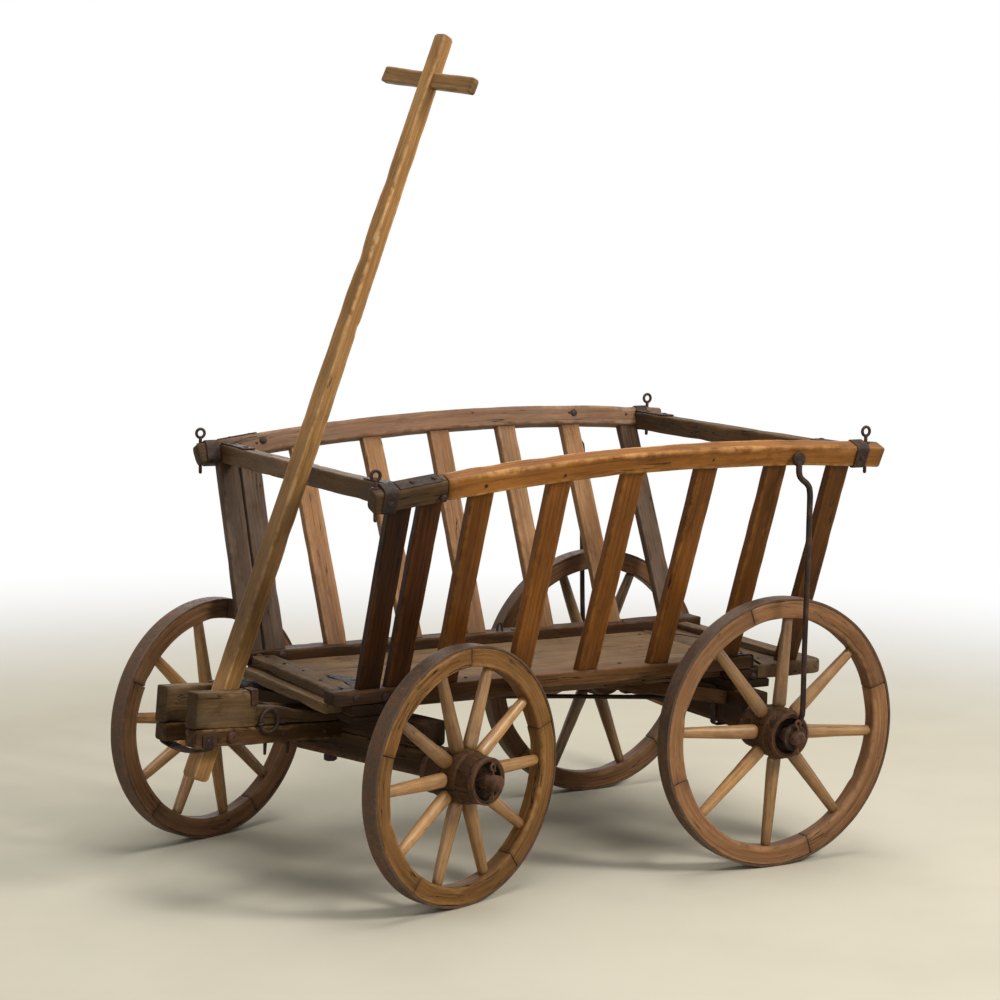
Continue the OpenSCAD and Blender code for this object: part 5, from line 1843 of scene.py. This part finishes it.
@dataclass
class Studio:
    """The floor, light and camera.

    Args:
        camera: The camera's place in metres.
        azimuth: Its direction round the cart in degrees.
        elevation: How far it looks down, in degrees.
        roll: How far it is tilted, in degrees.
        lens: Its focal length in millimetres, on a 36 mm sensor.
        floor: Colour of the floor in screen values.
        floor_half: Half the floor's side in metres.
        fade: Where the floor starts and ends its fade to white, in metres from the cart.
        room: Strength of the room's own light.
        lamps: The lamps.
    """

    camera: tuple[float, float, float] = (-2.02875, -3.624, 1.111)
    azimuth: float = -29.5
    elevation: float = 7.1
    roll: float = -1.1
    lens: float = 90.76
    floor: Screen = (204, 198, 180)
    floor_half: float = 40.0
    fade: tuple[float, float] = (1.2, 3.2)
    room: float = 0.2
    lamps: tuple[Lamp, ...] = (
        Lamp("key", (2.2, -3.4, 3.3), 1.2, 155, (1.0, 0.97, 0.92)),
        Lamp("fill", (-3.2, -3.2, 2.0), 2.6, 34, (0.97, 0.98, 1.0)),
        Lamp("top", (0.2, -0.2, 4.0), 2.2, 100, (1.0, 0.99, 0.97)),
        Lamp("back", (1.2, 4.2, 2.4), 2.6, 45, (1.0, 1.0, 1.0)),
    )

    def build(self) -> None:
        """Builds the whole studio."""
        self.lay_floor()
        self.light_room()
        for lamp in self.lamps:
            lamp.build()
        self.set_camera()

    def lay_floor(self) -> None:
        """Builds a wide floor that fades to white far from the cart for what looks at it directly."""
        mesh, wide = bpy.data.meshes.new("floor"), self.floor_half
        mesh.from_pydata([(-wide, -wide, 0), (wide, -wide, 0), (wide, wide, 0), (-wide, wide, 0)], [], [(0, 1, 2, 3)])
        floor = placed("floor", mesh)
        g = Graph(bpy.data.materials.new("floor"))
        where = g.node("TexCoord").outputs["Object"]
        distance = g.node("VectorMath", {0: where}, operation="LENGTH").outputs["Value"]
        path = g.node("LightPath").outputs
        seen = g.math("MAXIMUM", path["Is Camera Ray"], path["Is Glossy Ray"])
        darker = srgb(*(c - 14 for c in self.floor))
        colour = g.mix(g.remap(g.noise(where, 3.0, 4.0), 0.35, 0.7, 0.0, 0.3), srgb(*self.floor), darker)
        matt = g.node("BsdfDiffuse", {"Color": colour}).outputs[0]
        white = g.node("Emission", {"Color": WHITE, "Strength": 1.0}).outputs[0]
        fade = g.times(g.remap(distance, *self.fade), seen)
        g.node("OutputMaterial", {"Surface": g.node("MixShader", {0: fade, 1: matt, 2: white}).outputs[0]})
        mesh.materials.append(g.owner)

    def light_room(self) -> None:
        """Makes the world white to look at, and softer as a light."""
        world = bpy.context.scene.world = bpy.data.worlds.new("room")
        g = Graph(world)
        seen, lit = (g.node("Background", {"Color": WHITE, "Strength": s}).outputs[0] for s in (1.0, self.room))
        path = g.node("LightPath").outputs
        direct = g.math("MAXIMUM", path["Is Camera Ray"], path["Is Glossy Ray"])
        direct = g.math("MAXIMUM", direct, path["Is Transmission Ray"])
        g.node("OutputWorld", {"Surface": g.node("MixShader", {0: direct, 1: lit, 2: seen}).outputs[0]})

    def set_camera(self) -> None:
        """Stands the camera at its place and turns it by its angles."""
        az, el, roll = (math.radians(a) for a in (self.azimuth, self.elevation, self.roll))
        back = np.array([math.sin(az) * math.cos(el), -math.cos(az) * math.cos(el), math.sin(el)])
        right = np.array([math.cos(az), math.sin(az), 0.0])
        up = np.cross(back, right)
        c, s = math.cos(roll), math.sin(roll)
        data = bpy.data.cameras.new("camera")
        data.sensor_width, data.lens, data.clip_end = 36, self.lens, 100
        sides = (c * right - s * up, s * right + c * up)
        bpy.context.scene.camera = placed("camera", data, *sides, back, np.array(self.camera))


# ------------------------------------------------------------------ the cart


def corners(bounds: Sequence[Sequence[float]]) -> list[list[float]]:
    """A box's two corners as plain lists."""
    return [[float(value) for value in corner] for corner in bounds]


def main() -> None:
    """Builds the cart and its studio."""
    logging.basicConfig(level=logging.INFO, format="%(name)s: %(message)s")
    bpy.context.scene.view_settings.view_transform = "Standard"
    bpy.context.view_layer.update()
    Studio().build()
    Bed().build()
    Sides().build()
    # The beams' low tones, the last number of each, paint the deep shade under the cart.
    Axle(
        "front_axle", "front_axle", AXLE, 0, 205, 373, 356,
        ((201, 239, "front_axle_beam", 0.18), (239, 280, "front_bolster", 0.08))
    ).build()
    Axle("rear_axle", "body", CART, 675, 225, 361, 352, ((221, 279, "rear_axle_beam", 0.14),)).build()
    RearFrame().build()
    fork = Fork()
    fork.build()
    Drawbar().build(fork)
    # The last tuple of each wheel is painted light and shade, one tone a spoke; the far rear wheel's spokes are kept
    # dark as painted shade.
    for wheel in (
        Wheel(
            True, Side.LEFT, 410, 10, 5, 17.5, 55, OCHRE_FELLOE, (0.5, 0.5),
            (0.68, 0.4, 0.26, 0.28, 0.55, 0.7, 0.42, 0.34, 0.4, 0.52)
        ),
        Wheel(
            True, Side.RIGHT, 410, 10, 5, 62, 55, RED_FELLOE, (0.32, 0.42),
            (0.42, 0.62, 0.62, 0.5, 0.4, 0.42, 0.34, 0.34, 0.3, 0.18)
        ),
        Wheel(
            False, Side.LEFT, 450, 8, 4, 18, 39, RED_FELLOE, (0.58, 0.42),
            (0.48, 0.22, 0.26, 0.5, 0.7, 0.34, 0.32, 0.48)
        ),
        Wheel(
            False, Side.RIGHT, 450, 8, 4, 47, 39, RED_FELLOE, (0.3, 0.42),
            (0.16, 0.14, 0.2, 0.2, 0.16, 0.2, 0.18, 0.2)
        ),
    ):
        wheel.build()


if __name__ == "__main__":
    main()
